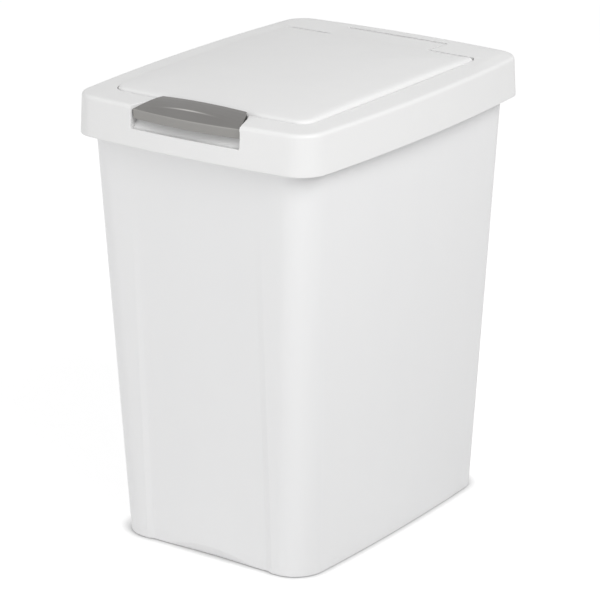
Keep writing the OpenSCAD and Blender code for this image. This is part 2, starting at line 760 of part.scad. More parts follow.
// A torsion spring about an axis along X: a leg in, the turns, and a leg out.
// Angles are measured from +Y towards +Z, and the turns run from angle a1 to a2.
module torsion_spring(y, z, r, wire, pitch, a1, a2, leg1, leg2) {
    steps = ceil((a2 - a1) / 360 * spring_steps);
    x0 = -pitch * (a2 - a1) / 720;
    function at(a) = [x0 + pitch * (a - a1) / 360, y + r * cos(a), z + r * sin(a)];
    function along(a) = [0, -sin(a), cos(a)];
    turns = [for (i = [0 : steps]) a1 + (a2 - a1) * i / steps];
    angles = concat([a1], turns, [a2]);
    path = concat([at(a1) - leg1 * along(a1)], [for (a = turns) at(a)], [at(a2) + leg2 * along(a2)]);
    rings = [for (i = [0 : len(path) - 1])
        let (out = [0, cos(angles[i]), sin(angles[i])])
        [for (j = [0 : wire_sides - 1])
            let (b = 360 * j / wire_sides)
            path[i] + wire / 2 * (out * cos(b) - [1, 0, 0] * sin(b))]];
    capped_skin(path[0], rings, path[len(path) - 1]);
}

// Length of a straight leg that leaves the coil at angle a and ends when it has risen to height z
function leg_length(a, coil_z, r, z) = abs((z - coil_z - r * sin(a)) / cos(a));

function coil_r(pin_d, wire) = pin_d / 2 + wire / 2 + rest_gap;

// One leg presses on the tongue's web, and the other stands on the trough's floor
module door_spring() {
    r = coil_r(hinge_pin_d, door_wire);
    clear = rest_gap + door_wire / 2;
    a1 = -130;
    a2 = 143 + 360 * door_turns;
    color(steel)
        torsion_spring(hinge_y, hinge_z, r, door_wire, door_wire * coil_pitch, a1, a2,
            leg_length(a1, hinge_z, r, hinge_z + barrel_inner - clear),
            leg_length(a2, hinge_z, r, trough_floor_z + clear));
}

// One leg presses up on the latch's front, and the other bears on the underside of the web
module latch_spring() {
    r = coil_r(latch_pin_d, latch_wire);
    clear = rest_gap + latch_wire / 2;
    a1 = 200;
    a2 = 330 + 360 * latch_turns;
    color(steel)
        torsion_spring(pivot_y, pivot_z, r, latch_wire, latch_wire * coil_pitch, a1, a2,
            leg_length(a1, pivot_z, r, latch_under(pivot_y - 9) - clear),
            leg_length(a2, pivot_z, r, web_low_z - clear));
}

basket();
lid_frame();
door();
latch();
hinge_pin();
door_spring();
latch_pin();
latch_spring();
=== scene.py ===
"""Looks of the push-latch bin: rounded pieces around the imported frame, their materials and the set."""
import math

import bmesh
import bpy
import numpy as np
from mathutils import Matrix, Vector
from mathutils.bvhtree import BVHTree


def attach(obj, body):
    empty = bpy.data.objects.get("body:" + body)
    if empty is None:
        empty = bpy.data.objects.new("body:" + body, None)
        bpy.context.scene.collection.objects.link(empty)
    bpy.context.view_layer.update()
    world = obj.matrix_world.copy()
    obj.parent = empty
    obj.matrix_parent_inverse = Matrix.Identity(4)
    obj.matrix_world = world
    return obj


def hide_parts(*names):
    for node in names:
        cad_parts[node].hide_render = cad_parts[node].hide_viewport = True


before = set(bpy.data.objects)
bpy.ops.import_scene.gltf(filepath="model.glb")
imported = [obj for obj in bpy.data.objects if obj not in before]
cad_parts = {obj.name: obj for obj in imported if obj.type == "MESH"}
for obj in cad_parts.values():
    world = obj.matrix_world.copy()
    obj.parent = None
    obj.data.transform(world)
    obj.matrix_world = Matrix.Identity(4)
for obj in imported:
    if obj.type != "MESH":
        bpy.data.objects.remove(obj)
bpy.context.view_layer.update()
MM = 0.001

# ---------------------------------------------------------------- sizes, in millimetres, as in the solids
BASKET_W, BASKET_D, BASKET_H = 210.0, 301.0, 402.4
WALL_LEAN, CORNER_R = 17.9, 28.0
FOOT_BOW, TOP_BOW, END_BOW = 5.0, 2.5, 1.6
WALL, FLOOR_T, FOOT_H, FOOT_INSET, FOOT_HOLLOW = 1.8, 2.4, 1.0, 1.2, 0.45
RIM_LIP_H, RIM_T = 9.0, 2.0
PANEL_HALF, PANEL_STEP, PANEL_DEPTH, PANEL_TOP = 65.0, 6.5, 2.2, 372.0
PANEL_REACH = PANEL_HALF + PANEL_STEP
# The wall is plain again at TOE_OVER above the scoop at the foot
TOE_H, TOE_W, TOE_DEPTH, TOE_OVER = 9.0, 106.0, 2.0, 6.0
SKIRT_OVER, SIDE_BOW, SKIRT_END_BOW = 8.1, 8.8, 7.1
SKIRT_Z = BASKET_H - 11.2
EDGE_Z = BASKET_H + 26.7
SKIRT_LEAN, SKIRT_R, FRAME_WALL, EDGE_R = 2.0, 22.0, 2.2, 3.5
BAND_RISE, DECK_RISE, SEAT_DEPTH, LEDGE_W, COLLAR_H = 0.4, 1.8, 5.2, 8.0, 12.0
BAND_Z = EDGE_Z + BAND_RISE
BAND_UNDER_Z = EDGE_Z - FRAME_WALL
# Shares of the band's rise and the deck's rise that the knee has, beside the door and then more behind it
KNEE_SHARE, KNEE_MORE, KNEE_DECK = 0.45, 0.4, 0.85
DECK_LEAD, DECK_RUN = 30.0, 40.0
SEAT_Z = BAND_Z - SEAT_DEPTH
RIM_GAP, SIDE_GAP, REST_GAP, OVERLAP = 0.8, 1.0, 0.3, 0.4
RIB_T, RIB_REACH, RIB_PITCH, END_RIB_X = 1.8, 9.0, 74.0, 82.0
LEAN_AT_SKIRT = WALL_LEAN * SKIRT_Z / BASKET_H
FRAME_W = BASKET_W + 2 * (LEAN_AT_SKIRT + SKIRT_OVER)
FRAME_D = BASKET_D + 2 * (LEAN_AT_SKIRT + SKIRT_OVER)
FRONT_Y = -FRAME_D / 2
BAND_KNEE = EDGE_R + 9
DOOR_W, DOOR_D, DOOR_BOW, DOOR_GAP = 214.0, 272.6, 1.5, 1.2
DOOR_FRONT_R, DOOR_REAR_R, DOOR_WALL, DOOR_EDGE_R, DOOR_CROWN, DOME_H = 15.0, 4.0, 2.0, 4.4, 2.5, 4.5
# The frame's wall stands nearer to the door's sides and front than the solid's
SEAT_GAP = 0.6
DOOR_LOW_Z = SEAT_Z + REST_GAP
DOOR_EDGE_Z = DOOR_LOW_Z + 7.2
DOOR_FRONT_Y = FRONT_Y + 29.2
DOOR_REAR_Y = DOOR_FRONT_Y + DOOR_D
DOOR_MID_Y = (DOOR_FRONT_Y + DOOR_REAR_Y) / 2
TONGUE_HALF, TONGUE_LAP, HINGE_REACH, BARREL_R = 56.0, 5.0, 26.0, 7.2
HINGE_Y, HINGE_Z = DOOR_REAR_Y + HINGE_REACH, DOOR_EDGE_Z - BARREL_R
PIN_R, KNUCKLE_T, KNUCKLE_X, TURN_FIT, PIN_FIT = 2.0, 4.0, 18.0, 0.06, 0.02
TROUGH_GAP, TROUGH_WALL, WINDOW_HALF = 1.2, 3.0, 13.0
TROUGH_X = TONGUE_HALF + TROUGH_GAP
TROUGH_FRONT_Y = HINGE_Y - BARREL_R - 8
TROUGH_REAR_Y = HINGE_Y + BARREL_R + TROUGH_GAP + 0.4
TROUGH_FLOOR_Z = HINGE_Z - BARREL_R - TROUGH_GAP
LATCH_REAR_HALF, LATCH_FRONT_HALF, LATCH_FLARE = 45.5, 58.5, 0.78
LATCH_REAR_Y = DOOR_FRONT_Y - DOOR_BOW - SIDE_GAP
LATCH_FRONT_Y = FRONT_Y - 6.4
LATCH_CURVE, LATCH_SLOPE, CREASE_MID, CREASE_END, CREASE_H = 4.5, 8.0, 14.0, 5.0, 1.6
LATCH_END_Y = LATCH_FRONT_Y + LATCH_CURVE
LATCH_Z = BAND_Z + 4.0
LATCH_FRONT_Z = LATCH_Z - LATCH_SLOPE
FLANGE_H, FLANGE_LEAN, LATCH_T, LATCH_GAP = 8.8, 0.8, 2.2, 1.2
PIVOT_Y, PIVOT_Z = LATCH_REAR_Y - 0.9, LATCH_Z - 18.0
LATCH_PIN_R, LUG_X, LUG_T, LUG_R, LUG_LEAN = 1.5, 40.0, 2.6, 4.0, 5.4
LATCH_LUG_MID = LUG_X + LUG_T / 2
FRAME_LUG_MID = LUG_X + LUG_T * 1.5 + SIDE_GAP / 2
CATCH_HALF, CATCH_REACH, CATCH_BEVEL = 38.0, 1.8, 1.4
WEB_TOP_Z = SEAT_Z - 0.6
WEB_LOW_Z = WEB_TOP_Z - FRAME_WALL
LATCH_SIDE_Z = WEB_TOP_Z + 2.8
POCKET_Z = LATCH_FRONT_Z - FLANGE_H - 9.6
POCKET_X = LATCH_FRONT_HALF + LATCH_GAP
POCKET_LIP, POCKET_RISE, POCKET_WALL = 0.9, 15.0, 2.0
POCKET_FLOOR_Y = FRONT_Y - SKIRT_END_BOW + 5.6
POCKET_BACK_Y = FRONT_Y - SKIRT_END_BOW + 18.2
DOOR_WIRE, LATCH_WIRE, DOOR_TURNS, LATCH_TURNS, COIL_PITCH = 1.0, 0.8, 8, 6, 1.6
# Angles that each spring's coil starts and ends at, and how far ahead of the pivot the latch's leg presses
DOOR_COIL, LATCH_COIL, LEG_REACH = (-130, 143), (200, 330), 9.0
# Beyond everything, for pieces that are cut off later, and where rays towards the frame start
FAR, RAY_Y, RAY_Z = 60.0, -260.0, 480.0

# ---------------------------------------------------------------- outlines
ARC_N, SIDE_N, END_N = 16, 30, 26


def inset(o, t):
    """The outline o, set in by t: width, depth, front and rear radius, side and end bow, and middle in y."""
    w, d, rf, rr, sb, eb, my = o
    return (w - 2 * t, d - 2 * t, max(rf - t, 1.0), max(rr - t, 1.0), sb, eb, my)


def corner(x, y, r, start):
    """A quarter turn about (x, y) from the angle start."""
    a = np.radians(start + 90 * np.arange(ARC_N + 1) / ARC_N)
    return np.stack([x + r * np.cos(a), y + r * np.sin(a)], 1)


def outline(o, stations=None):
    """Points round an outline, anticlockwise from above. stations are places along the front and rear."""
    w, d, rf, rr, sb, eb, my = o
    hw, hd = w / 2, d / 2
    even = np.linspace(-1, 1, 2 * END_N + 1)[1:-1]
    front = even * (hw - rf) if stations is None else stations(hw - rf)
    rear = even * (hw - rr) if stations is None else stations(hw - rr)
    side = np.arange(1, SIDE_N) / SIDE_N * (d - rf - rr)
    pts = np.concatenate([
        corner(hw - rf, rf - hd, rf, -90),
        np.stack([np.full(SIDE_N - 1, hw), rf - hd + side], 1),
        corner(hw - rr, hd - rr, rr, 0),
        np.stack([rear[::-1], np.full(len(rear), hd)], 1),
        corner(rr - hw, hd - rr, rr, 90),
        np.stack([np.full(SIDE_N - 1, -hw), hd - rr - side], 1),
        corner(rf - hw, rf - hd, rf, 180),
        np.stack([front, np.full(len(front), -hd)], 1)])
    x, y = pts[:, 0].copy(), pts[:, 1].copy()
    pts[:, 0] = x * (1 + sb / hw * (1 - (y / hd) ** 2))
    pts[:, 1] = my + y * (1 + eb / hd * (1 - (x / hw) ** 2))
    return pts


def lift(pts, z):
    """The points' places in plan, at the height z, which is one number or one for each."""
    z = np.broadcast_to(np.asarray(z, float), (len(pts),))
    return np.column_stack([pts[:, :2], z])


def shift_in(ring, z, share):
    """A ring at share of its distance from its own middle, for a fillet's last steps."""
    mid = ring[:, :2].mean(0)
    return lift(mid + (ring[:, :2] - mid) * share, z)


def quarter(r, steps):
    """(along, up) points of a fillet: from 0 along and 0 up, to r along and r up."""
    return [(r * (1 - math.cos(v)), r * math.sin(v)) for v in np.radians(np.linspace(0, 90, steps))]


# ---------------------------------------------------------------- meshes
def add_object(name, data):
    obj = bpy.data.objects.new(name, data)
    bpy.context.scene.collection.objects.link(obj)
    return obj


def solid(name, verts, faces):
    """A closed mesh with its faces turned outwards. verts are in millimetres."""
    mesh = bpy.data.meshes.new(name)
    mesh.from_pydata((np.asarray(verts, float) * MM).tolist(), [], faces)
    mesh.validate()
    bm = bmesh.new()
    bm.from_mesh(mesh)
    bmesh.ops.recalc_face_normals(bm, faces=bm.faces)
    if bm.calc_volume(signed=True) < 0:
        bmesh.ops.reverse_faces(bm, faces=bm.faces)
    bm.to_mesh(mesh)
    bm.free()
    return add_object(name, mesh)


def ring_faces(n, i, k):
    """Quads between the rings i and k, of n points each."""
    return [(i * n + j, i * n + (j + 1) % n, k * n + (j + 1) % n, k * n + j) for j in range(n)]


def skin(name, rings, loop=False, first=None, last=None):
    """A closed skin through rings of equal length: looped, or capped by a point at each end."""
    n, m = len(rings[0]), len(rings)
    verts = [p for r in rings for p in r]
    faces = []
    for i in range(m if loop else m - 1):
        faces += ring_faces(n, i, (i + 1) % m)
    if not loop:
        verts += [first, last]
        for j in range(n):
            h = (j + 1) % n
            faces.append((n * m, h, j))
            faces.append((n * m + 1, (m - 1) * n + j, (m - 1) * n + h))
    return solid(name, verts, faces)


def extrude(name, near, far):
    """A solid between two like polygons."""
    n = len(near)
    faces = ring_faces(n, 0, 1) + [tuple(range(n - 1, -1, -1)), tuple(range(n, 2 * n))]
    return solid(name, near + far, faces)


def bar(name, x1, x2, section):
    """A bar along X whose section is a list of (y, z)."""
    return extrude(name, [(x1, y, z) for y, z in section], [(x2, y, z) for y, z in section])


def bar_pair(name, x1, x2, section):
    """The bar from x1 to x2, and its mirror image."""
    return [bar(name, *sorted((s * x1, s * x2)), section) for s in (-1, 1)]


def prism(name, plan, z1, z2):
    """An upright prism whose plan is a list of (x, y)."""
    return extrude(name, [(x, y, z1) for x, y in plan], [(x, y, z2) for x, y in plan])


def rectangle(a1, b1, a2, b2):
    return [(a1, b1), (a2, b1), (a2, b2), (a1, b2)]


def rod(name, reach, y, z, r, sides=48):
    """A round bar along X, from -reach to reach."""
    a = np.arange(sides) * 2 * math.pi / sides
    return bar(name, -reach, reach, [(y + r * math.cos(v), z + r * math.sin(v)) for v in a])


def arc(y, z, r, a1, a2, count):
    """Points round (y, z) from the angle a1 to a2, in degrees."""
    return [(y + r * math.cos(math.radians(a)), z + r * math.sin(math.radians(a)))
            for a in np.linspace(a1, a2, count + 1)]


def combine(obj, others, how):
    """Applies a boolean of obj with each of others, which are used up."""
    for other in others:
        mod = obj.modifiers.new("combine", "BOOLEAN")
        mod.operation, mod.solver, mod.object = how, "MANIFOLD", other
        graph = bpy.context.evaluated_depsgraph_get()
        mesh = bpy.data.meshes.new_from_object(obj.evaluated_get(graph))
        obj.modifiers.clear()
        old = obj.data
        obj.data = mesh
        bpy.data.meshes.remove(old)
        bpy.data.objects.remove(other)
    return obj


def finish_mesh(obj, name, body, material, nodes, angle=38):
    """Cleans, shades, names and places a piece. Edges sharper than angle stay sharp."""
    bm = bmesh.new()
    bm.from_mesh(obj.data)
    bmesh.ops.remove_doubles(bm, verts=bm.verts, dist=0.004 * MM)
    bmesh.ops.dissolve_degenerate(bm, dist=0.002 * MM, edges=bm.edges)
    loose = [v for v in bm.verts if not v.link_faces]
    bmesh.ops.delete(bm, geom=loose, context="VERTS")
    bm.to_mesh(obj.data)
    bm.free()
    obj.data.name = name
    obj.name = name
    obj.data.shade_smooth()
    obj.data.set_sharp_from_angle(angle=math.radians(angle))
    mod = obj.modifiers.new("even normals", "WEIGHTED_NORMAL")
    mod.keep_sharp = True
    mod.weight = 60
    obj.data.materials.clear()
    obj.data.materials.append(material)
    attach(obj, body)
    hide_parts(*nodes)
    return obj


# ---------------------------------------------------------------- materials
def add_node(tree, kind, **inputs):
    """A new shader node with its inputs set, where From_Min stands for "From Min"."""
    node = tree.nodes.new("ShaderNode" + kind)
    for key, value in inputs.items():
        node.inputs[key.replace("_", " ")].default_value = value
    return node


def shader(name, color, roughness, **inputs):
    mat = bpy.data.materials.new(name)
    mat.use_nodes = True
    tree = mat.node_tree
    bsdf = tree.nodes["Principled BSDF"]
    bsdf.inputs["Base Color"].default_value = (*color, 1)
    bsdf.inputs["Roughness"].default_value = roughness
    for key, value in inputs.items():
        bsdf.inputs[key.replace("_", " ")].default_value = value
    return mat, tree, bsdf


def place(tree):
    """Position in the piece's own frame, which rides with it."""
    return add_node(tree, "TexCoord").outputs["Object"]


def noise(tree, where, scale, detail=2.0, roughness=0.5, stretch=None):
    if stretch:
        mapping = add_node(tree, "Mapping", Scale=stretch)
        tree.links.new(where, mapping.inputs["Vector"])
        where = mapping.outputs["Vector"]
    node = add_node(tree, "TexNoise", Scale=scale, Detail=detail, Roughness=roughness)
    tree.links.new(where, node.inputs["Vector"])
    return node.outputs["Fac"]


def ramp(tree, fac, low, high, a, b):
    """Maps fac from low..high to a..b."""
    node = add_node(tree, "MapRange", From_Min=low, From_Max=high, To_Min=a, To_Max=b)
    tree.links.new(fac, node.inputs["Value"])
    return node.outputs["Result"]


def tint(tree, fac, a, b):
    """Mixes the colours a and b by fac."""
    node = add_node(tree, "Mix")
    node.data_type = "RGBA"
    node.inputs["A"].default_value = (*a, 1)
    node.inputs["B"].default_value = (*b, 1)
    tree.links.new(fac, node.inputs["Factor"])
    return node.outputs["Result"]


def bump(tree, height, distance, strength, before=None):
    node = add_node(tree, "Bump", Distance=distance, Strength=strength)
    tree.links.new(height, node.inputs["Height"])
    if before:
        tree.links.new(before, node.inputs["Normal"])
    return node.outputs["Normal"]


def moulded_plastic(name, color, dark, rough, grain_scale, grain, flow=None):
    """Moulded plastic: faint mottling along flow, a fine grain over slow waves, and gloss that varies."""
    mat, tree, bsdf = shader(
        name, color, rough, Specular_IOR_Level=0.36, Coat_Weight=0.05, Coat_Roughness=0.28)
    where = place(tree)
    mottle = noise(tree, where, 22.0, 3.0, 0.55, flow)
    tree.links.new(tint(tree, ramp(tree, mottle, 0.3, 0.7, 0, 1), dark, color), bsdf.inputs["Base Color"])
    patches = noise(tree, where, 60.0, 4.0, 0.6)
    tree.links.new(ramp(tree, patches, 0.25, 0.75, rough - 0.05, rough + 0.06), bsdf.inputs["Roughness"])
    fine = noise(tree, where, grain_scale, 2.0, 0.6)
    wave = noise(tree, where, 14.0, 1.0, 0.4)
    first = bump(tree, wave, 0.0006, 0.35)
    tree.links.new(bump(tree, fine, 0.00012, grain, first), bsdf.inputs["Normal"])
    return mat


def painted_highlight(mat, pale):
    """Mixes a paler colour in where the mesh's own per-vertex values say so: painted highlights on the
    latch's crease and flange edge, and a painted sheen on its flange.
    """
    tree = mat.node_tree
    color = tree.nodes["Principled BSDF"].inputs["Base Color"]
    plain = color.links[0].from_socket
    node = add_node(tree, "Attribute")
    node.attribute_name = "painted_highlight"
    mixed = tint(tree, node.outputs["Fac"], pale, pale)
    tree.links.new(plain, mixed.node.inputs["A"])
    tree.links.new(mixed, color)


def steel(name, color, rough, stretch):
    """Drawn steel: streaks in its gloss and relief along stretch, and dull stains."""
    mat, tree, bsdf = shader(name, color, rough, Metallic=1.0)
    where = place(tree)
    drawn = noise(tree, where, 900.0, 3.0, 0.6, stretch)
    tree.links.new(ramp(tree, drawn, 0.3, 0.7, rough - 0.08, rough + 0.12), bsdf.inputs["Roughness"])
    stain = noise(tree, where, 160.0, 3.0, 0.6)
    dull = tuple(c * 0.82 for c in color)
    tree.links.new(tint(tree, ramp(tree, stain, 0.35, 0.7, 0, 1), color, dull), bsdf.inputs["Base Color"])
    tree.links.new(bump(tree, drawn, 0.00002, 0.5), bsdf.inputs["Normal"])
    return mat


SHELL = moulded_plastic(
    "shell_plastic", (0.848, 0.848, 0.850), (0.840, 0.840, 0.843), 0.42, 900, 0.10, (1, 1, 0.35))
LID = moulded_plastic("lid_plastic", (0.822, 0.821, 0.818), (0.814, 0.813, 0.811), 0.44, 1100, 0.12)
DOOR = moulded_plastic("door_plastic", (0.816, 0.815, 0.812), (0.807, 0.806, 0.804), 0.50, 1500, 0.30)
GREY = moulded_plastic("latch_plastic", (0.172, 0.167, 0.160), (0.160, 0.155, 0.148), 0.34, 1700, 0.12)
# Painted highlights and a painted sheen on the latch, mixed in from its mesh's per-vertex values
painted_highlight(GREY, (0.66, 0.645, 0.62))
PIN = steel("pin_steel", (0.62, 0.62, 0.63), 0.26, (0.03, 1, 1))
WIRE = steel("spring_steel", (0.50, 0.51, 0.53), 0.34, (1, 1, 1))


# ---------------------------------------------------------------- basket
def soft_clamp(t, w=0.09):
    """0 to 1, with its two corners rounded over w."""
    def area(v):
        return np.where(v < 0, 0, np.where(v > 1, v - 0.5, v * v / 2))
    return (area(t + w) - area(t - w)) / (2 * w)


def panel_stations(reach):
    """Places along the front and rear, close together over the steps at the panel's sides."""
    near, far = PANEL_HALF - 1.2, PANEL_REACH + 1.2
    half = np.concatenate([
        np.linspace(0, near, 17)[1:],
        np.linspace(near, far, 13)[1:],
        far + (reach - far) * np.arange(1, 5) / 5])
    return np.concatenate([-half[::-1], [0.0], half])


def arch(x):
    """Height of the arch over the toe scoop."""
    return TOE_H * np.maximum(0, 1 - (2 * x / TOE_W) ** 2)


def wall_outline(z, t=0.0):
    """The wall's outline at height z, without its panels, set in by t."""
    s = z / BASKET_H
    bow = FOOT_BOW + (TOP_BOW - FOOT_BOW) * s
    w, d = BASKET_W + 2 * WALL_LEAN * s, BASKET_D + 2 * WALL_LEAN * s
    return inset((w, d, CORNER_R, CORNER_R, bow, END_BOW, 0.0), t)


def wall_ring(z, t=0.0, toe=None):
    """A ring on the wall at height z, set in by t, with the panels and toe scoops pressed in at both ends.

    With toe, its height runs from the foot at 0, by the arch at 1, to just over the arch at 2.
    """
    pts = outline(wall_outline(z, t), panel_stations)
    x = pts[:, 0]
    h = np.full(len(pts), float(z))
    if toe is not None:
        over = TOE_H + TOE_OVER
        a = np.maximum(arch(x), FOOT_H + 3.0)
        h = FOOT_H + (a - FOOT_H) * min(toe, 1.0) + (over - a) * max(toe - 1.0, 0.0)
        low, high = (outline(wall_outline(v, t), panel_stations) for v in (0.0, BASKET_H))
        pts = low + (high - low) * (h / BASKET_H)[:, None]
    on_end = (np.abs(x) < PANEL_REACH + 1.3) & (np.abs(pts[:, 1]) > BASKET_D / 2 - 12)
    inside = soft_clamp((PANEL_REACH - np.abs(x)) / PANEL_STEP)
    press = inside * PANEL_DEPTH * np.maximum(0, 1 - h / PANEL_TOP)
    press = press + TOE_DEPTH * np.maximum(0, arch(x) - h) / TOE_H
    y = pts[:, 1] - np.where(on_end, np.sign(pts[:, 1]) * press, 0)
    return np.column_stack([pts[:, 0], y, h])


def skirt_outline(z, t=0.0):
    """The frame's outline at height z, set in by t. The skirt leans in as it rises."""
    back = SKIRT_LEAN * min(max((z - SKIRT_Z) / (EDGE_Z - SKIRT_Z), 0), 1)
    return inset((FRAME_W, FRAME_D, SKIRT_R, SKIRT_R, SIDE_BOW, SKIRT_END_BOW, 0.0), back + t)


def rim_ring(z, t=0.0):
    """A ring on the rim's lip, which follows the skirt with a gap."""
    return lift(outline(skirt_outline(z, FRAME_WALL + RIM_GAP + t), panel_stations), z)


def build_basket():
    """The tub: from the middle of its foot up the outside, over the rim and down the inside to its floor."""
    levels = TOE_H + TOE_OVER + (PANEL_TOP - TOE_H - TOE_OVER) * np.linspace(0, 1, 26)[1:]
    levels = np.append(levels, PANEL_TOP + 14)
    rings = [wall_ring(FOOT_H, FOOT_INSET) * [1, 1, 0] + [0, 0, z] for z in (0.35, FOOT_H)]
    for z, share in ((0.0, 0.996), (0.0, 0.93), (FOOT_HOLLOW, 0.985), (FOOT_HOLLOW, 0.4)):
        rings.insert(0, shift_in(rings[0], z, share))
    rings.append(wall_ring(FOOT_H, 0.35))
    toes = np.concatenate([np.linspace(0.04, 0.96, 12), [1.0], np.linspace(1.05, 2, 8)])
    rings += [wall_ring(FOOT_H, 0.0, toe) for toe in toes]
    rings += [wall_ring(z) for z in levels]
    rings.append(wall_ring(BASKET_H - RIM_T - 1.2))

    # Out under the rim, round its lip, and over its rounded edge
    lip_z, under_z, fillet = BASKET_H - RIM_LIP_H, BASKET_H - RIM_T * 1.3, RIM_T * 1.2
    near, wide = wall_ring(BASKET_H - RIM_T), rim_ring(under_z, RIM_T)
    rings += [near + (wide - near) * s for s in (0.08, 0.5, 0.92)]
    rings += [rim_ring(z, t) for z, t in (
        (under_z - 0.8, RIM_T), ((lip_z + BASKET_H) / 2 - 1, RIM_T), (lip_z + 0.3, RIM_T),
        (lip_z, RIM_T * 0.7), (lip_z, RIM_T * 0.3), (lip_z + 0.4, 0.0), (lip_z + 3, 0.0))]
    rings += [rim_ring(BASKET_H - fillet + up, along) for along, up in quarter(fillet, 7)]
    rings += [lift(wall_ring(BASKET_H - down, WALL * s), BASKET_H - down)
              for down, s in ((0, 0.6), (0.15, 0.75), (0.7, 0.94), (2.4, 1.0))]

    rings += [wall_ring(z, WALL) for z in levels[::-1]]
    toes = np.concatenate([np.linspace(2, 1.05, 5), [1.0], np.linspace(0.9, 0.72, 3)])
    rings += [wall_ring(FOOT_H, WALL, toe) for toe in toes]
    low = wall_ring(FOOT_H, WALL, 0.55)
    for share, z in ((0.9985, 6.2), (0.996, 4.7), (0.99, 3.4)):
        rings.append(shift_in(low, np.minimum(low[:, 2], z), share))
    for share, z in ((0.980, 2.6), (0.965, FLOOR_T), (0.9, FLOOR_T), (0.45, FLOOR_T)):
        rings.append(shift_in(low, z, share))
    obj = skin("basket_body", rings, first=(0, 0, FOOT_HOLLOW), last=(0, 0, FLOOR_T))
    return finish_mesh(obj, "basket_body", "basket", SHELL, ["basket"], angle=50)


# ---------------------------------------------------------------- lid frame
def door_outline(t=0.0):
    """The door's outline, set in by t."""
    return inset((DOOR_W, DOOR_D, DOOR_FRONT_R, DOOR_REAR_R, DOOR_BOW, DOOR_BOW, DOOR_MID_Y), t)


def seat_outline(t=0.0):
    """The wall round the door, set in by t: SEAT_GAP from its sides and front, DOOR_GAP from its rear."""
    spare = DOOR_GAP - SEAT_GAP
    o = (DOOR_W, DOOR_D + spare, DOOR_FRONT_R, DOOR_REAR_R, DOOR_BOW, DOOR_BOW, DOOR_MID_Y + spare / 2)
    return inset(o, t - SEAT_GAP)


def deck_share(y):
    """How far the deck has risen at depth y, from 0 beside the door to 1 behind it."""
    return np.clip((y - DOOR_REAR_Y + DECK_LEAD) / DECK_RUN, 0, 1)


def band_height(s, y):
    """Height over the band: s runs from 0 at the rounded edge, by 1 at the knee, to 2 at the door's seat."""
    knee = EDGE_Z + KNEE_SHARE * BAND_RISE + (KNEE_MORE * BAND_RISE + KNEE_DECK * DECK_RISE) * deck_share(y)
    if s <= 1:
        return EDGE_Z + (knee - EDGE_Z) * s
    top = BAND_Z + DECK_RISE * np.clip((y - DOOR_REAR_Y + DOOR_REAR_R) / DOOR_REAR_R, 0, 1)
    return knee + (top - knee) * (s - 1)


def frame_outside(t):
    """Rings over the outside of the frame, from the skirt's lower edge to the door's seat, set in by t.

    At t = 0, both of those edges are rounded.
    """
    low_edge = ((0.55, 0.02), (0.2, 0.16), (0.0, 0.55)) if t == 0 else ((t, 0.0),)
    rings = [lift(outline(skirt_outline(SKIRT_Z, along)), SKIRT_Z + up) for along, up in low_edge]
    top = EDGE_Z - t
    rings += [lift(outline(skirt_outline(z, t)), z) for z in np.linspace(SKIRT_Z + 3, top - EDGE_R - 0.6, 6)]
    for along, up in quarter(EDGE_R, 10):
        z = top - EDGE_R + up
        rings.append(lift(outline(skirt_outline(z, t + along)), z))
    edge = outline(skirt_outline(EDGE_Z, EDGE_R + t))
    knee = outline(skirt_outline(EDGE_Z, BAND_KNEE))
    inner = outline(seat_outline(-0.2 if t == 0 else 0))
    for s in (0.12, 0.3, 0.5, 0.7, 0.85, 1.0, 1.12, 1.25, 1.4, 1.55, 1.7, 1.85, 1.95, 2.0):
        pts = edge + (knee - edge) * s if s <= 1 else knee + (inner - knee) * (s - 1)
        rings.append(lift(pts, band_height(s, pts[:, 1]) - t))
    if t == 0:
        last, seat = rings[-1], outline(seat_outline())
        for share, down in ((0.5, 0.03), (1.0, 0.2)):
            rings.append(lift(last[:, :2] + (seat - last[:, :2]) * share, last[:, 2] - down))
    return rings


def cast(tree, origin, direction):
    """Where a ray first hits the frame's shell, in millimetres, or None."""
    hit = tree.ray_cast(Vector(origin) * MM, Vector(direction))[0]
    return None if hit is None else np.array(hit) / MM


def flared_prism(name, plan, low_z, tree, radius=0.7):
    """An upright cutter that flares where it leaves the frame's skin, so the cut's edge is round."""
    plan = np.asarray(plan, float)

    def normal(e):
        n = np.stack([e[:, 1], -e[:, 0]], 1)
        return n / np.maximum(np.linalg.norm(n, axis=1, keepdims=True), 1e-9)

    na, nb = normal(np.roll(plan, -1, 0) - plan), normal(plan - np.roll(plan, 1, 0))
    out = (na + nb) / np.maximum(1 + (na * nb).sum(1, keepdims=True), 0.3)
    surface = []
    for x, y in plan + out * radius:
        hit = cast(tree, (x, y, RAY_Z), (0, 0, -1))
        # Off the band, the cutter's edge keeps to the band's height
        surface.append(BAND_Z if hit is None or hit[2] < EDGE_Z - 6 else hit[2])
    surface = np.array(surface)
    rings = [lift(plan, low_z)]
    for a in np.radians((0, 20, 40, 58, 72)):
        flare = plan + out * radius * (1 - math.cos(a))
        rings.append(lift(flare, surface - radius + radius * math.sin(a)))
    wide, top_z = plan + out * radius * 1.15, BAND_Z + 30
    rings += [lift(wide, surface + 0.25), lift(wide, top_z)]
    mid = plan.mean(0)
    return skin(name, rings, first=(*mid, low_z), last=(*mid, top_z))


def latch_half(s):
    """Half width of the latch at share s of the way from its rear edge to its front ends."""
    return LATCH_REAR_HALF + (LATCH_FRONT_HALF - LATCH_REAR_HALF) * np.clip(s, 0, 1) ** LATCH_FLARE


def dense(points, step):
    """A closed polygon with extra points so that no side is longer than step."""
    out = []
    for a, b in zip(points, points[1:] + points[:1]):
        a, b = np.array(a, float), np.array(b, float)
        n = max(1, int(math.ceil(np.linalg.norm(b - a) / step)))
        out += [tuple(a + (b - a) * i / n) for i in range(n)]
    return out


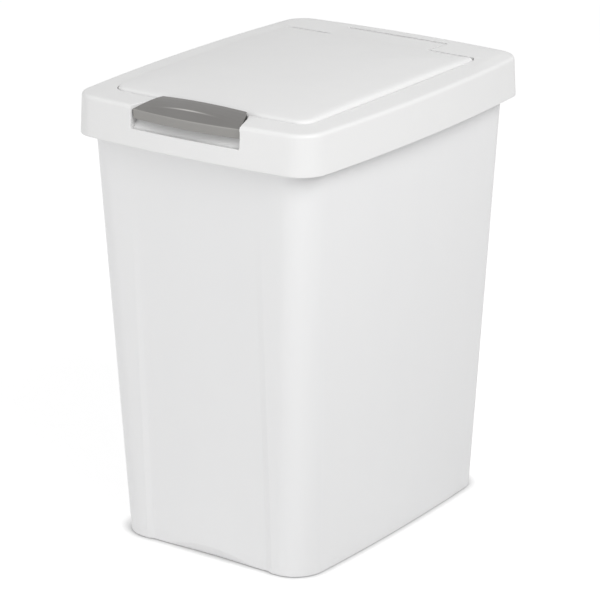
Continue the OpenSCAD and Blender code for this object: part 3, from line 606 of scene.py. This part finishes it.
def latch_plan(gap, front_y, rear_y):
    """Plan of the latch with a gap at its ends, from front_y to rear_y."""
    right = [(latch_half(s) + gap, LATCH_REAR_Y + (LATCH_END_Y - LATCH_REAR_Y) * s)
             for s in np.linspace(0, 1, 15)]
    end = latch_half(1) + gap
    pts = [(-right[0][0], rear_y), (right[0][0], rear_y)] + right + [(end, front_y), (-end, front_y)]
    pts += [(-x, y) for x, y in right[::-1]]
    return dense(pts, 3.0)[::-1]


def pocket_cutter(tree):
    """The finger pocket: a rounded mouth that follows the skirt's skin, and a floor that runs back and up."""
    flare, top = 1.1, WEB_TOP_Z + 0.6

    def loop(half, low, y_of):
        """A ring round the pocket's section, whose depth at (x, z) is y_of(x, z)."""
        r = min(2.0, (top - low) * 0.4)
        pts = [(x, low) for x in np.linspace(-half + r, half - r, 61)]
        pts += [(half - r + r * math.sin(a), low + r - r * math.cos(a)) for a in np.radians([22, 45, 68, 90])]
        pts += [(half, z) for z in np.linspace(low + r, top, 8)[1:]]
        pts += [(x, top) for x in np.linspace(half, -half, 61)[1:]]
        pts += [(-half, z) for z in np.linspace(top, low + r, 8)[1:]]
        pts += [(-half + r - r * math.sin(a), low + r - r * math.cos(a)) for a in np.radians([68, 45, 22])]
        return np.array([(x, y_of(x, z), z) for x, z in pts])

    face = {}

    def skin_y(x, z):
        key = (round(x, 2), round(min(z, 420.0), 2))
        if key not in face:
            face[key] = cast(tree, (key[0], RAY_Y, key[1]), (0, 1, 0))[1]
        return face[key]

    def flat(y):
        return lambda x, z: y

    lip_z, slope_z = POCKET_Z + POCKET_LIP, POCKET_Z + POCKET_RISE
    rings = [loop(POCKET_X + flare, lip_z - flare, flat(FRONT_Y - 40)),
             loop(POCKET_X + flare * 0.75, lip_z - flare * 0.75, lambda x, z: skin_y(x, z) - 0.3)]
    for a in np.radians((18, 35, 52, 70, 90)):
        out, deep = flare * (1 - math.sin(a)), flare * (1 - math.cos(a))
        rings.append(loop(POCKET_X + out, lip_z - out, lambda x, z: skin_y(x, z) + deep))
    for low, y in ((lip_z, FRONT_Y - SKIRT_END_BOW + 4.55), (POCKET_Z + 0.25, POCKET_FLOOR_Y - 0.7),
                   (POCKET_Z + 0.25, POCKET_FLOOR_Y - 0.1), (POCKET_Z + 1.0, POCKET_FLOOR_Y + 0.7),
                   (slope_z - 0.9, POCKET_BACK_Y - 0.8), (slope_z - 0.2, POCKET_BACK_Y - 0.2)):
        rings.append(loop(POCKET_X, low, flat(y)))
    back = rings[-1].copy()
    back[:, 1] = POCKET_BACK_Y
    mid = back.mean(0)
    rings.append(mid + (back - mid) * [0.995, 1, 0.9])
    return skin("pocket_cutter", rings, first=(0, FRONT_Y - 40, 414), last=tuple(mid))


def build_lid_shell():
    """The frame's skin as one loop: over the outside, down the seat and collar, and back under the band."""
    ledge_low = SEAT_Z - FRAME_WALL
    collar_z = ledge_low - COLLAR_H
    gap, inner = outline(seat_outline()), outline(door_outline(LEDGE_W))
    rings = frame_outside(0)
    rings += [lift(gap + (inner - gap) * s, SEAT_Z + up)
              for s, up in ((0, 0.6), (0.02, 0.15), (0.08, 0), (0.5, 0))]
    ledge_r = 0.9
    for along, up in quarter(ledge_r, 5)[::-1]:
        rings.append(lift(outline(door_outline(LEDGE_W - along)), SEAT_Z - ledge_r + up))
    rings += [lift(inner, z) for z in (SEAT_Z - 3, (SEAT_Z + collar_z) / 2, collar_z + 0.7)]
    wall = FRAME_WALL
    rings += [lift(outline(door_outline(LEDGE_W - s)), collar_z + up)
              for s, up in ((0.2, 0.2), (0.7, 0), (wall - 0.7, 0), (wall - 0.2, 0.2), (wall, 0.7), (wall, 6))]
    rings += [lift(outline(door_outline(t)), z) for t, z in (
        (LEDGE_W - wall, ledge_low - 0.8), (LEDGE_W - wall - 0.8, ledge_low),
        (-DOOR_GAP - wall + 0.8, ledge_low), (-DOOR_GAP - wall, ledge_low + 0.8),
        (-DOOR_GAP - wall, BAND_Z - wall * 1.3))]
    rings.append(lift(outline(skirt_outline(EDGE_Z, BAND_KNEE)), BAND_UNDER_Z))
    r = EDGE_R - wall
    for along, up in quarter(r, 5)[::-1]:
        z = BAND_UNDER_Z - r + up
        rings.append(lift(outline(skirt_outline(z, wall + along)), z))
    rings += [lift(outline(skirt_outline(z, wall)), z) for z in (415, 404, SKIRT_Z + 0.6)]
    rings.append(lift(outline(skirt_outline(SKIRT_Z, wall - 0.5)), SKIRT_Z))
    return skin("lid_shell", rings, loop=True)


def build_lid_works():
    """What stands inside the shell, cut off at its skin: pocket, well, lugs, hinge trough and ribs."""
    lip_z, slope_z, top_z = POCKET_Z + POCKET_LIP, POCKET_Z + POCKET_RISE, BAND_Z + FAR
    path = [(FRONT_Y - FAR, lip_z), (FRONT_Y - SKIRT_END_BOW + FRAME_WALL, lip_z),
            (POCKET_FLOOR_Y, POCKET_Z), (POCKET_BACK_Y, slope_z), (POCKET_BACK_Y, WEB_TOP_Z)]
    below = [(y + POCKET_WALL * 0.7, z - POCKET_WALL) for y, z in path]
    side = [(FRONT_Y - FAR, POCKET_Z - 1), (POCKET_FLOOR_Y, POCKET_Z - 1), (POCKET_BACK_Y, slope_z - 1),
            (POCKET_BACK_Y + POCKET_WALL, top_z), (FRONT_Y - FAR, top_z)]
    parts = [bar("liner", -POCKET_X - POCKET_WALL, POCKET_X + POCKET_WALL,
                 path + [(POCKET_BACK_Y + POCKET_WALL, WEB_TOP_Z)] + below[3::-1])]
    parts += bar_pair("liner_side", POCKET_X, POCKET_X + POCKET_WALL, side)
    well = latch_plan(LATCH_GAP + POCKET_WALL, FRONT_Y - FAR, DOOR_FRONT_Y - DOOR_GAP)
    parts.append(prism("well", well, WEB_LOW_Z, top_z))
    web = rectangle(POCKET_BACK_Y, WEB_LOW_Z, DOOR_FRONT_Y + 3, WEB_TOP_Z)
    parts.append(bar("web", -POCKET_X, POCKET_X, web))
    lug = [(PIVOT_Y + LUG_R, WEB_LOW_Z + OVERLAP), (PIVOT_Y - LUG_R, WEB_LOW_Z + OVERLAP)]
    lug += arc(PIVOT_Y, PIVOT_Z, LUG_R, 180, 360, 20)
    parts += bar_pair("frame_lug", FRAME_LUG_MID - LUG_T / 2, FRAME_LUG_MID + LUG_T / 2, lug)
    trough = rectangle(TROUGH_FRONT_Y - FRAME_WALL, TROUGH_FLOOR_Z - FRAME_WALL,
                       TROUGH_REAR_Y + FRAME_WALL, top_z)
    parts.append(bar("trough", -TROUGH_X - TROUGH_WALL, TROUGH_X + TROUGH_WALL, trough))

    # Ribs that rest on the basket's rim, as (x, y, half size in x, half size in y)
    side_x = FRAME_W / 2 - SKIRT_LEAN + SIDE_BOW - RIB_REACH
    end_y = FRAME_D / 2 - SKIRT_LEAN + SKIRT_END_BOW - RIB_REACH
    for s in (-1, 1):
        ribs = [(s * side_x, i * RIB_PITCH, RIB_REACH, RIB_T / 2) for i in (-1.5, -0.5, 0.5, 1.5)]
        ribs += [(s * END_RIB_X, e * end_y, RIB_T / 2, RIB_REACH) for e in (-1, 1)]
        for x, y, w, d in ribs:
            plan = rectangle(x - w, y - d, x + w, y + d)
            parts.append(prism("rib", plan, BASKET_H + REST_GAP, BAND_UNDER_Z + 1))

    works = combine(parts[0], parts[1:], "UNION")
    core = skin("core", frame_outside(FRAME_WALL / 2), first=(0, 0, SKIRT_Z), last=(0, DOOR_MID_Y, BAND_Z))
    works = combine(works, [core], "INTERSECT")
    seat = [tuple(p) for p in outline(door_outline(-DOOR_GAP - 0.4))]
    return combine(works, [prism("seat_cut", seat, SEAT_Z - 0.02, top_z)], "DIFFERENCE")


def build_lid_cutters(tree):
    """The finger pocket, the latch's well, and the slots, trough and holes for what moves or is held."""
    well = latch_plan(LATCH_GAP, FRONT_Y - 30, DOOR_FRONT_Y - DOOR_GAP + 0.5)
    cutters = [pocket_cutter(tree), flared_prism("well_cut", well, WEB_TOP_Z, tree)]
    front_y, low_z, high_z = PIVOT_Y - LUG_LEAN - LUG_R, WEB_LOW_Z - 1, SEAT_Z + 1
    half = (LUG_T + SIDE_GAP) / 2
    slot = rectangle(front_y, low_z, PIVOT_Y + LUG_R + 1, high_z)
    cutters += bar_pair("lug_slot", LATCH_LUG_MID - half, LATCH_LUG_MID + half, slot)
    coil = LATCH_WIRE * COIL_PITCH * (LATCH_TURNS + 1) / 2 + SIDE_GAP
    cutters.append(bar("spring_slot", -coil, coil, rectangle(front_y, low_z, PIVOT_Y - 1, high_z)))
    # The way in for the tongue stays clear of it as it turns
    way_x, way_y = TONGUE_HALF + 0.6, HINGE_Y + BARREL_R + 0.6
    way = [(-way_x, way_y), (-way_x, DOOR_REAR_Y - 2), (way_x, DOOR_REAR_Y - 2), (way_x, way_y)]
    cutters.append(flared_prism("tongue_cut", dense(way, 4.0), SEAT_Z + 0.2, tree, 0.3))
    trough = rectangle(TROUGH_FRONT_Y, TROUGH_FLOOR_Z, TROUGH_REAR_Y - 0.01, high_z)
    cutters.append(bar("trough_cut", -TROUGH_X, TROUGH_X, trough))
    cutters.append(rod("pin_hole", TROUGH_X + TROUGH_WALL + 1, HINGE_Y, HINGE_Z, PIN_R + PIN_FIT))
    cutters.append(rod("latch_pin_hole", FRAME_LUG_MID + LUG_T, PIVOT_Y, PIVOT_Z, LATCH_PIN_R + PIN_FIT, 32))
    return cutters


def build_lid_frame():
    shell = build_lid_shell()
    tree = BVHTree.FromObject(shell, bpy.context.evaluated_depsgraph_get())
    shell = combine(shell, [build_lid_works()], "UNION")
    shell = combine(shell, build_lid_cutters(tree), "DIFFERENCE")
    return finish_mesh(shell, "lid_frame_moulding", "lid", LID, ["lid_frame"])


# ---------------------------------------------------------------- door
def crowned(ring):
    """The ring raised by the door's crown, which runs from front to rear."""
    rise = DOOR_CROWN * np.maximum(0, 1 - ((ring[:, 1] - DOOR_MID_Y) / (DOOR_D / 2)) ** 4)
    return ring + np.outer(rise, (0, 0, 1))


def door_skin(t):
    """Rings over the door's skin, set in by t, from its lower edge to near its middle."""
    top, r = DOOR_EDGE_Z - t, DOOR_EDGE_R - t
    low_edge = ((0.45, 0.0), (0.15, 0.12), (0.0, 0.45)) if t == 0 else ((t, 0.0),)
    rings = [lift(outline(door_outline(along)), DOOR_LOW_Z + up) for along, up in low_edge]
    for a in np.radians(np.linspace(0, 84, 15)):
        pts = outline(door_outline(t + r * (1 - math.cos(a))))
        rings.append(crowned(lift(pts, top - r + r * math.sin(a))))
    base, mid = outline(door_outline(t)), np.array([0, DOOR_MID_Y])
    for s in (0.955, 0.93, 0.9, 0.86, 0.82, 0.76, 0.70, 0.62, 0.54, 0.45, 0.36, 0.27, 0.18, 0.09):
        rings.append(crowned(lift(mid + (base - mid) * s, top + DOME_H * (1 - s ** 2.2))))
    return rings


def latch_top(u):
    """The latch's top at u, -1 at one end and 1 at the other: rear edge, middle, crease and front edge."""
    rear = np.array([LATCH_REAR_Y, LATCH_Z])
    front = np.array([LATCH_FRONT_Y + LATCH_CURVE * u * u, LATCH_FRONT_Z])
    back = CREASE_MID + (CREASE_END - CREASE_MID) * u * u
    crease = front + (rear - front) * back / (rear[0] - front[0]) + [0, CREASE_H * (1 - u * u)]
    middle = (rear + crease) / 2 + [0, CREASE_H * 0.3]
    return rear, middle, crease, front


def latch_under(y, u=0.0):
    """Height of the latch's underside over depth y."""
    pts = sorted(tuple(p) for p in latch_top(u))
    return float(np.interp(y, [p[0] for p in pts], [p[1] for p in pts])) - LATCH_T


def build_door():
    outside, inside = door_skin(0), door_skin(DOOR_WALL)
    rings = outside + inside[::-1]
    n, m, total = len(outside[0]), len(outside), len(rings)
    tip_z = DOOR_EDGE_Z + DOME_H + DOOR_CROWN
    verts = [p for r in rings for p in r] + [(0, DOOR_MID_Y, tip_z), (0, DOOR_MID_Y, tip_z - DOOR_WALL)]
    faces = []
    # All round but across the gap in the middle of the skin, which the two tips close
    for i in [*range(m - 1), *range(m, total)]:
        faces += ring_faces(n, i, (i + 1) % total)
    for j in range(n):
        h = (j + 1) % n
        faces.append((total * n, (m - 1) * n + j, (m - 1) * n + h))
        faces.append((total * n + 1, m * n + h, m * n + j))
    panel = solid("door_panel", verts, faces)

    half, inner, r = TONGUE_HALF, BARREL_R - DOOR_WALL, BARREL_R - OVERLAP

    def tongue(low):
        """A web, then a shell round the pin down to the angle low."""
        lap_y = DOOR_REAR_Y - TONGUE_LAP
        return ([(lap_y, HINGE_Z + inner), (lap_y, HINGE_Z + BARREL_R)]
                + arc(HINGE_Y, HINGE_Z, BARREL_R, 90, low, 26) + arc(HINGE_Y, HINGE_Z, inner, low, 90, 26))

    knuckle = [(DOOR_REAR_Y - 1, HINGE_Z + r)] + arc(HINGE_Y, HINGE_Z, r, 90, -180, 40)
    parts = []
    for s in (-1, 1):
        for name, x1, x2, section in (("tongue", WINDOW_HALF, half, tongue(-90)),
                                      ("knuckle", KNUCKLE_X - KNUCKLE_T, KNUCKLE_X, knuckle),
                                      ("knuckle", half - KNUCKLE_T, half, knuckle)):
            parts.append(bar(name, *sorted((s * x1, s * x2)), section))
    parts.append(bar("tongue_mid", -WINDOW_HALF - OVERLAP, WINDOW_HALF + OVERLAP, tongue(30)))
    # The lip that the latch's rear edge holds
    catch_y = LATCH_REAR_Y - CATCH_REACH
    catch_z = min(latch_under(catch_y), latch_under(catch_y, CATCH_HALF / LATCH_REAR_HALF)) - REST_GAP
    parts.append(bar("catch", -CATCH_HALF, CATCH_HALF, [
        (catch_y, catch_z), (catch_y, DOOR_LOW_Z + CATCH_BEVEL), (catch_y + CATCH_BEVEL, DOOR_LOW_Z),
        (DOOR_FRONT_Y + 1, DOOR_LOW_Z), (DOOR_FRONT_Y + 1, catch_z)]))
    panel = combine(panel, parts, "UNION")
    panel = combine(panel, [rod("pin_bore", half + 1, HINGE_Y, HINGE_Z, PIN_R + TURN_FIT)], "DIFFERENCE")
    return finish_mesh(panel, "door_moulding", "door", DOOR, ["door"])


# ---------------------------------------------------------------- latch
def rounded(points, radii, steps=4):
    """A closed line's points, with each corner rounded by its radius."""
    out = []
    n = len(points)
    for i, (p, r) in enumerate(zip(points, radii)):
        p = np.array(p, float)
        if r <= 0:
            out.append(p)
            continue
        a, b = np.array(points[i - 1], float) - p, np.array(points[(i + 1) % n], float) - p
        la, lb = np.linalg.norm(a), np.linalg.norm(b)
        r = min(r, la * 0.45, lb * 0.45)
        start, end = p + a / la * r, p + b / lb * r
        out += [(1 - t) ** 2 * start + 2 * t * (1 - t) * p + t * t * end
                for t in np.linspace(0, 1, steps + 1)]
    return out


def latch_outside(u):
    """Section of the latch's outside at u, as (y, z). Its rear edge is crowned."""
    rear, middle, crease, front = latch_top(u)
    foot = front + [FLANGE_LEAN, -FLANGE_H]
    crown = np.array([0, 1.3 * (1 - u * u) - 0.6])
    rear, middle = rear + crown, middle + crown * 0.4
    pts = [rear, rear * 0.5 + middle * 0.5 + [0, 0.15], middle, middle * 0.5 + crease * 0.5 + [0, 0.1],
           crease, front, foot, foot + [LATCH_T, 0],
           np.array([POCKET_BACK_Y, LATCH_SIDE_Z]), np.array([LATCH_REAR_Y, LATCH_SIDE_Z])]
    return rounded(pts, (0.9, 0.4, 0.4, 0.4, 1.6, 1.0, 0.5, 0.5, 1.0, 0.4))


def latch_hollow(u):
    """Section of the hollow that leaves the latch's walls."""
    rear, middle, crease, front = latch_top(u)
    foot = front + [FLANGE_LEAN + LATCH_T, -FLANGE_H]
    low = LATCH_FRONT_Z - FLANGE_H - 2
    down = np.array([0, -LATCH_T])
    pts = [rear + [2, -LATCH_T], rear + down, middle + down, crease + down, front + [LATCH_T, -LATCH_T], foot,
           np.array([foot[0], low]), np.array([LATCH_REAR_Y + 2, low])]
    return rounded(pts, (0, 0, 0.3, 0.3, 0.8, 0, 0, 0))


def latch_share(y):
    """Share of the way from the latch's rear edge to its front ends."""
    return (LATCH_REAR_Y - y) / (LATCH_REAR_Y - LATCH_END_Y)


def latch_loft(name, section, t):
    """Sections from end to end, whose ends stand in by t."""
    rings = []
    for u in (-1, *np.linspace(-0.985, 0.985, 81), 1):
        pts = np.array(section(u))
        rings.append(np.column_stack([u * (latch_half(latch_share(pts[:, 0])) - t), pts]))
    x, y = rings[-1][:, 0].mean(), rings[-1][:, 1].mean()
    return skin(name, rings, first=(-x, y, LATCH_SIDE_Z + 1.5), last=(x, y, LATCH_SIDE_Z + 1.5))


def latch_highlight_amount(x, y, z):
    """How much painted light the latch gets: a painted highlight along its crease and along the flange's
    upper edge, and a little painted sheen on the flange.
    """
    u = x / latch_half(latch_share(y))
    _, _, crease, front = latch_top(u)
    # A painted glint along the crease, strongest near its middle
    crease_glint = 0.95 * math.exp(-(math.dist((y, z), crease) / 0.8) ** 2 - (u + 0.08) ** 2 / 0.10)
    # A painted highlight along the flange's upper edge
    rim = 0.55 * math.exp(-(math.dist((y, z), front) / 0.5) ** 2)
    # A painted sheen over the flange's front face
    face = 0.28 if y < front[0] + LATCH_T * 0.7 and z < front[1] - 0.35 else 0.0
    return min(1.0, max(crease_glint, rim, face))


def build_latch():
    latch = latch_loft("latch_outer", latch_outside, 0.0)
    latch = combine(latch, [latch_loft("latch_hollow", latch_hollow, LATCH_T)], "DIFFERENCE")
    lug_y = PIVOT_Y - LUG_LEAN
    lug_top = latch_under(lug_y, 1) + LATCH_T / 2
    lug = [(lug_y + LUG_R / 2, lug_top), (lug_y - LUG_R / 2, lug_top)]
    lug += arc(PIVOT_Y, PIVOT_Z, LUG_R, 180, 360, 20)
    lugs = bar_pair("latch_lug", LATCH_LUG_MID - LUG_T / 2, LATCH_LUG_MID + LUG_T / 2, lug)
    latch = combine(latch, lugs, "UNION")
    bore = rod("latch_bore", FAR, PIVOT_Y, PIVOT_Z, LATCH_PIN_R + TURN_FIT, 32)
    latch = combine(latch, [bore], "DIFFERENCE")
    latch = finish_mesh(latch, "latch_moulding", "latch", GREY, ["latch"], angle=35)
    # Per-vertex amounts of painted highlight and painted sheen, read by the latch's shader
    values = [latch_highlight_amount(*(c / MM for c in v.co)) for v in latch.data.vertices]
    latch.data.attributes.new("painted_highlight", "FLOAT", "POINT").data.foreach_set("value", values)
    return latch


# ---------------------------------------------------------------- pins and springs
def build_pin(name, reach, y, z, r, node):
    """A drawn pin with bevelled ends."""
    sides, bevel = 64, 0.3
    a = np.arange(sides) * 2 * math.pi / sides
    ends = ((reach - bevel, r), (reach, r - bevel))
    rings = [np.column_stack([np.full(sides, x), y + rr * np.cos(a), z + rr * np.sin(a)]) for x, rr in (
        *((-x, rr) for x, rr in ends[::-1]), (-reach * 0.5, r), (0, r), (reach * 0.5, r), *ends)]
    obj = skin(name, rings, first=(-reach, y, z), last=(reach, y, z))
    return finish_mesh(obj, name, "lid", PIN, [node], angle=30)


def build_spring(name, y, z, pin_r, wire, angles, turns, leg_heights, node):
    """A torsion spring about X: a leg in, the turns, and a leg out, as one tube.

    Its coil runs from the first angle to the second and turns on, and its legs end at leg_heights.
    """
    r, pitch = pin_r + wire / 2 + REST_GAP, wire * COIL_PITCH
    a1, a2 = angles[0], angles[1] + 360 * turns
    steps = int((a2 - a1) / 360 * 40)
    x0 = -pitch * (a2 - a1) / 720

    def at(a):
        v = math.radians(a)
        return np.array([x0 + pitch * (a - a1) / 360, y + r * math.cos(v), z + r * math.sin(v)])

    def leg(a, end_z):
        """From the coil at the angle a, along the straight leg to its end."""
        v = math.radians(a)
        return abs((end_z - z - r * math.sin(v)) / math.cos(v)) * np.array([0, -math.sin(v), math.cos(v)])

    leg1, leg2 = leg(angles[0], leg_heights[0]), leg(angles[1], leg_heights[1])
    coil = [a1 + (a2 - a1) * i / steps for i in range(steps + 1)]
    path = [at(a1) - leg1, at(a1) - leg1 * 0.5] + [at(a) for a in coil] + [at(a2) + leg2 * 0.5, at(a2) + leg2]
    sides = 14
    rings = []
    for p, a in zip(path, [a1] * 2 + coil + [a2] * 2):
        v = math.radians(a)
        out = np.array([0, math.cos(v), math.sin(v)])
        rings.append(np.array([p + wire / 2 * (out * math.cos(b) - np.array([1, 0, 0]) * math.sin(b))
                               for b in np.arange(sides) * 2 * math.pi / sides]))
    obj = skin(name, rings, first=tuple(path[0]), last=tuple(path[-1]))
    return finish_mesh(obj, name, "lid", WIRE, [node], angle=40)


build_basket()
build_lid_frame()
build_door()
build_latch()
build_pin("hinge_pin_rod", TROUGH_X + TROUGH_WALL, HINGE_Y, HINGE_Z, PIN_R, "hinge_pin")
build_pin("latch_pin_rod", FRAME_LUG_MID + LUG_T / 2, PIVOT_Y, PIVOT_Z, LATCH_PIN_R, "latch_pin")
# The door's spring presses up on the tongue's web from the trough's floor
clear = REST_GAP + DOOR_WIRE / 2
build_spring("door_spring_wire", HINGE_Y, HINGE_Z, PIN_R, DOOR_WIRE, DOOR_COIL, DOOR_TURNS,
             (HINGE_Z + BARREL_R - DOOR_WALL - clear, TROUGH_FLOOR_Z + clear), "door_spring")
# The latch's spring presses up on its front from under the web
clear = REST_GAP + LATCH_WIRE / 2
build_spring("latch_spring_wire", PIVOT_Y, PIVOT_Z, LATCH_PIN_R, LATCH_WIRE, LATCH_COIL, LATCH_TURNS,
             (latch_under(PIVOT_Y - LEG_REACH) - clear, WEB_LOW_Z - clear), "latch_spring")

# ---------------------------------------------------------------- camera, as in the photograph
AZ, EL, ROLL, DIST = math.radians(35.21), math.radians(19.11), math.radians(-0.08), 2.88465
AIM_Z, AIM_RIGHT = 0.20779, -0.00276
FOCAL_PX, FRAME_PX, SENSOR = 3065.5, 600, 36.0
back = Vector((math.sin(AZ) * math.cos(EL), -math.cos(AZ) * math.cos(EL), math.sin(EL)))
right = Vector((math.cos(AZ), math.sin(AZ), 0))
camera_data = bpy.data.cameras.new("camera")
camera_data.sensor_width = SENSOR
camera_data.lens = FOCAL_PX * SENSOR / FRAME_PX
camera_data.clip_end = 50
camera = add_object("camera", camera_data)
camera.location = Vector((0, 0, AIM_Z)) + right * AIM_RIGHT + back * DIST
camera.rotation_euler = (back.to_track_quat("Z", "Y").to_matrix().to_4x4()).to_euler()
camera.rotation_euler.rotate_axis("Z", ROLL)
bpy.context.scene.camera = camera

# ---------------------------------------------------------------- floor, lamps and world
def show(tree, output, lit, seen):
    """Gives the shader seen to camera, glossy and transmission rays, and lit to the rest."""
    rays = add_node(tree, "LightPath")
    factor = rays.outputs["Is Camera Ray"]
    for name in ("Is Glossy Ray", "Is Transmission Ray"):
        either = add_node(tree, "Math")
        either.operation = "MAXIMUM"
        tree.links.new(factor, either.inputs[0])
        tree.links.new(rays.outputs[name], either.inputs[1])
        factor = either.outputs[0]
    pick = add_node(tree, "MixShader")
    tree.links.new(factor, pick.inputs[0])
    tree.links.new(lit.outputs[0], pick.inputs[1])
    tree.links.new(seen.outputs[0], pick.inputs[2])
    tree.links.new(pick.outputs[0], add_node(tree, output).inputs[0])


def build_floor(half=30.0, color=(0.62, 0.62, 0.62, 1)):
    """A pale floor that glows up to white where it is seen, but for a thin painted contact shadow round the
    foot, where ambient occlusion dims the glow.
    """
    mesh = bpy.data.meshes.new("floor")
    corners = [(x, y, 0) for x, y in rectangle(-half, -half, half, half)]
    mesh.from_pydata(corners, [], [(0, 1, 2, 3)])
    mat = bpy.data.materials.new("floor")
    mat.use_nodes = True
    tree = mat.node_tree
    tree.nodes.clear()
    # Ambient occlusion near the foot dims the glow below: a painted contact shadow
    near = add_node(tree, "AmbientOcclusion", Distance=0.014)
    near.samples = 16
    glow = add_node(tree, "Emission")
    tree.links.new(ramp(tree, near.outputs["AO"], 0.4, 1.0, 0.10, 0.66), glow.inputs["Strength"])
    both = add_node(tree, "AddShader")
    tree.links.new(add_node(tree, "BsdfDiffuse", Color=color).outputs[0], both.inputs[0])
    tree.links.new(glow.outputs[0], both.inputs[1])
    show(tree, "OutputMaterial", add_node(tree, "BsdfDiffuse", Color=color), both)
    mesh.materials.append(mat)
    floor = add_object("floor", mesh)


def build_world(strength=0.505):
    """A plain white sky that lights at this strength, and is seen as white."""
    world = bpy.data.worlds.new("studio")
    bpy.context.scene.world = world
    world.use_nodes = True
    tree = world.node_tree
    tree.nodes.clear()
    sky = add_node(tree, "Background", Color=(1, 1, 1, 1), Strength=strength)
    white = add_node(tree, "Background", Color=(1, 1, 1, 1), Strength=1.0)
    show(tree, "OutputWorld", sky, white)


def build_lamp(name, azimuth, elevation, distance, size, watts):
    """A soft lamp that shines on the middle of the bin from this direction."""
    data = bpy.data.lights.new(name, "AREA")
    data.shape = "RECTANGLE"
    data.size, data.size_y = size
    data.energy = watts
    lamp = add_object(name, data)
    a, e = math.radians(azimuth), math.radians(elevation)
    aim = Vector((math.sin(a) * math.cos(e), -math.cos(a) * math.cos(e), math.sin(e)))
    lamp.location = Vector((0, 0, 0.25)) + aim * distance
    lamp.rotation_euler = aim.to_track_quat("Z", "Y").to_euler()


build_floor()
build_world()
build_lamp("key", 72, 40, 2.0, (1.25, 1.25), 22.6)
build_lamp("front_fill", -20, 5, 2.8, (1.8, 0.8), 23.4)

bpy.context.scene.view_settings.view_transform = "Standard"
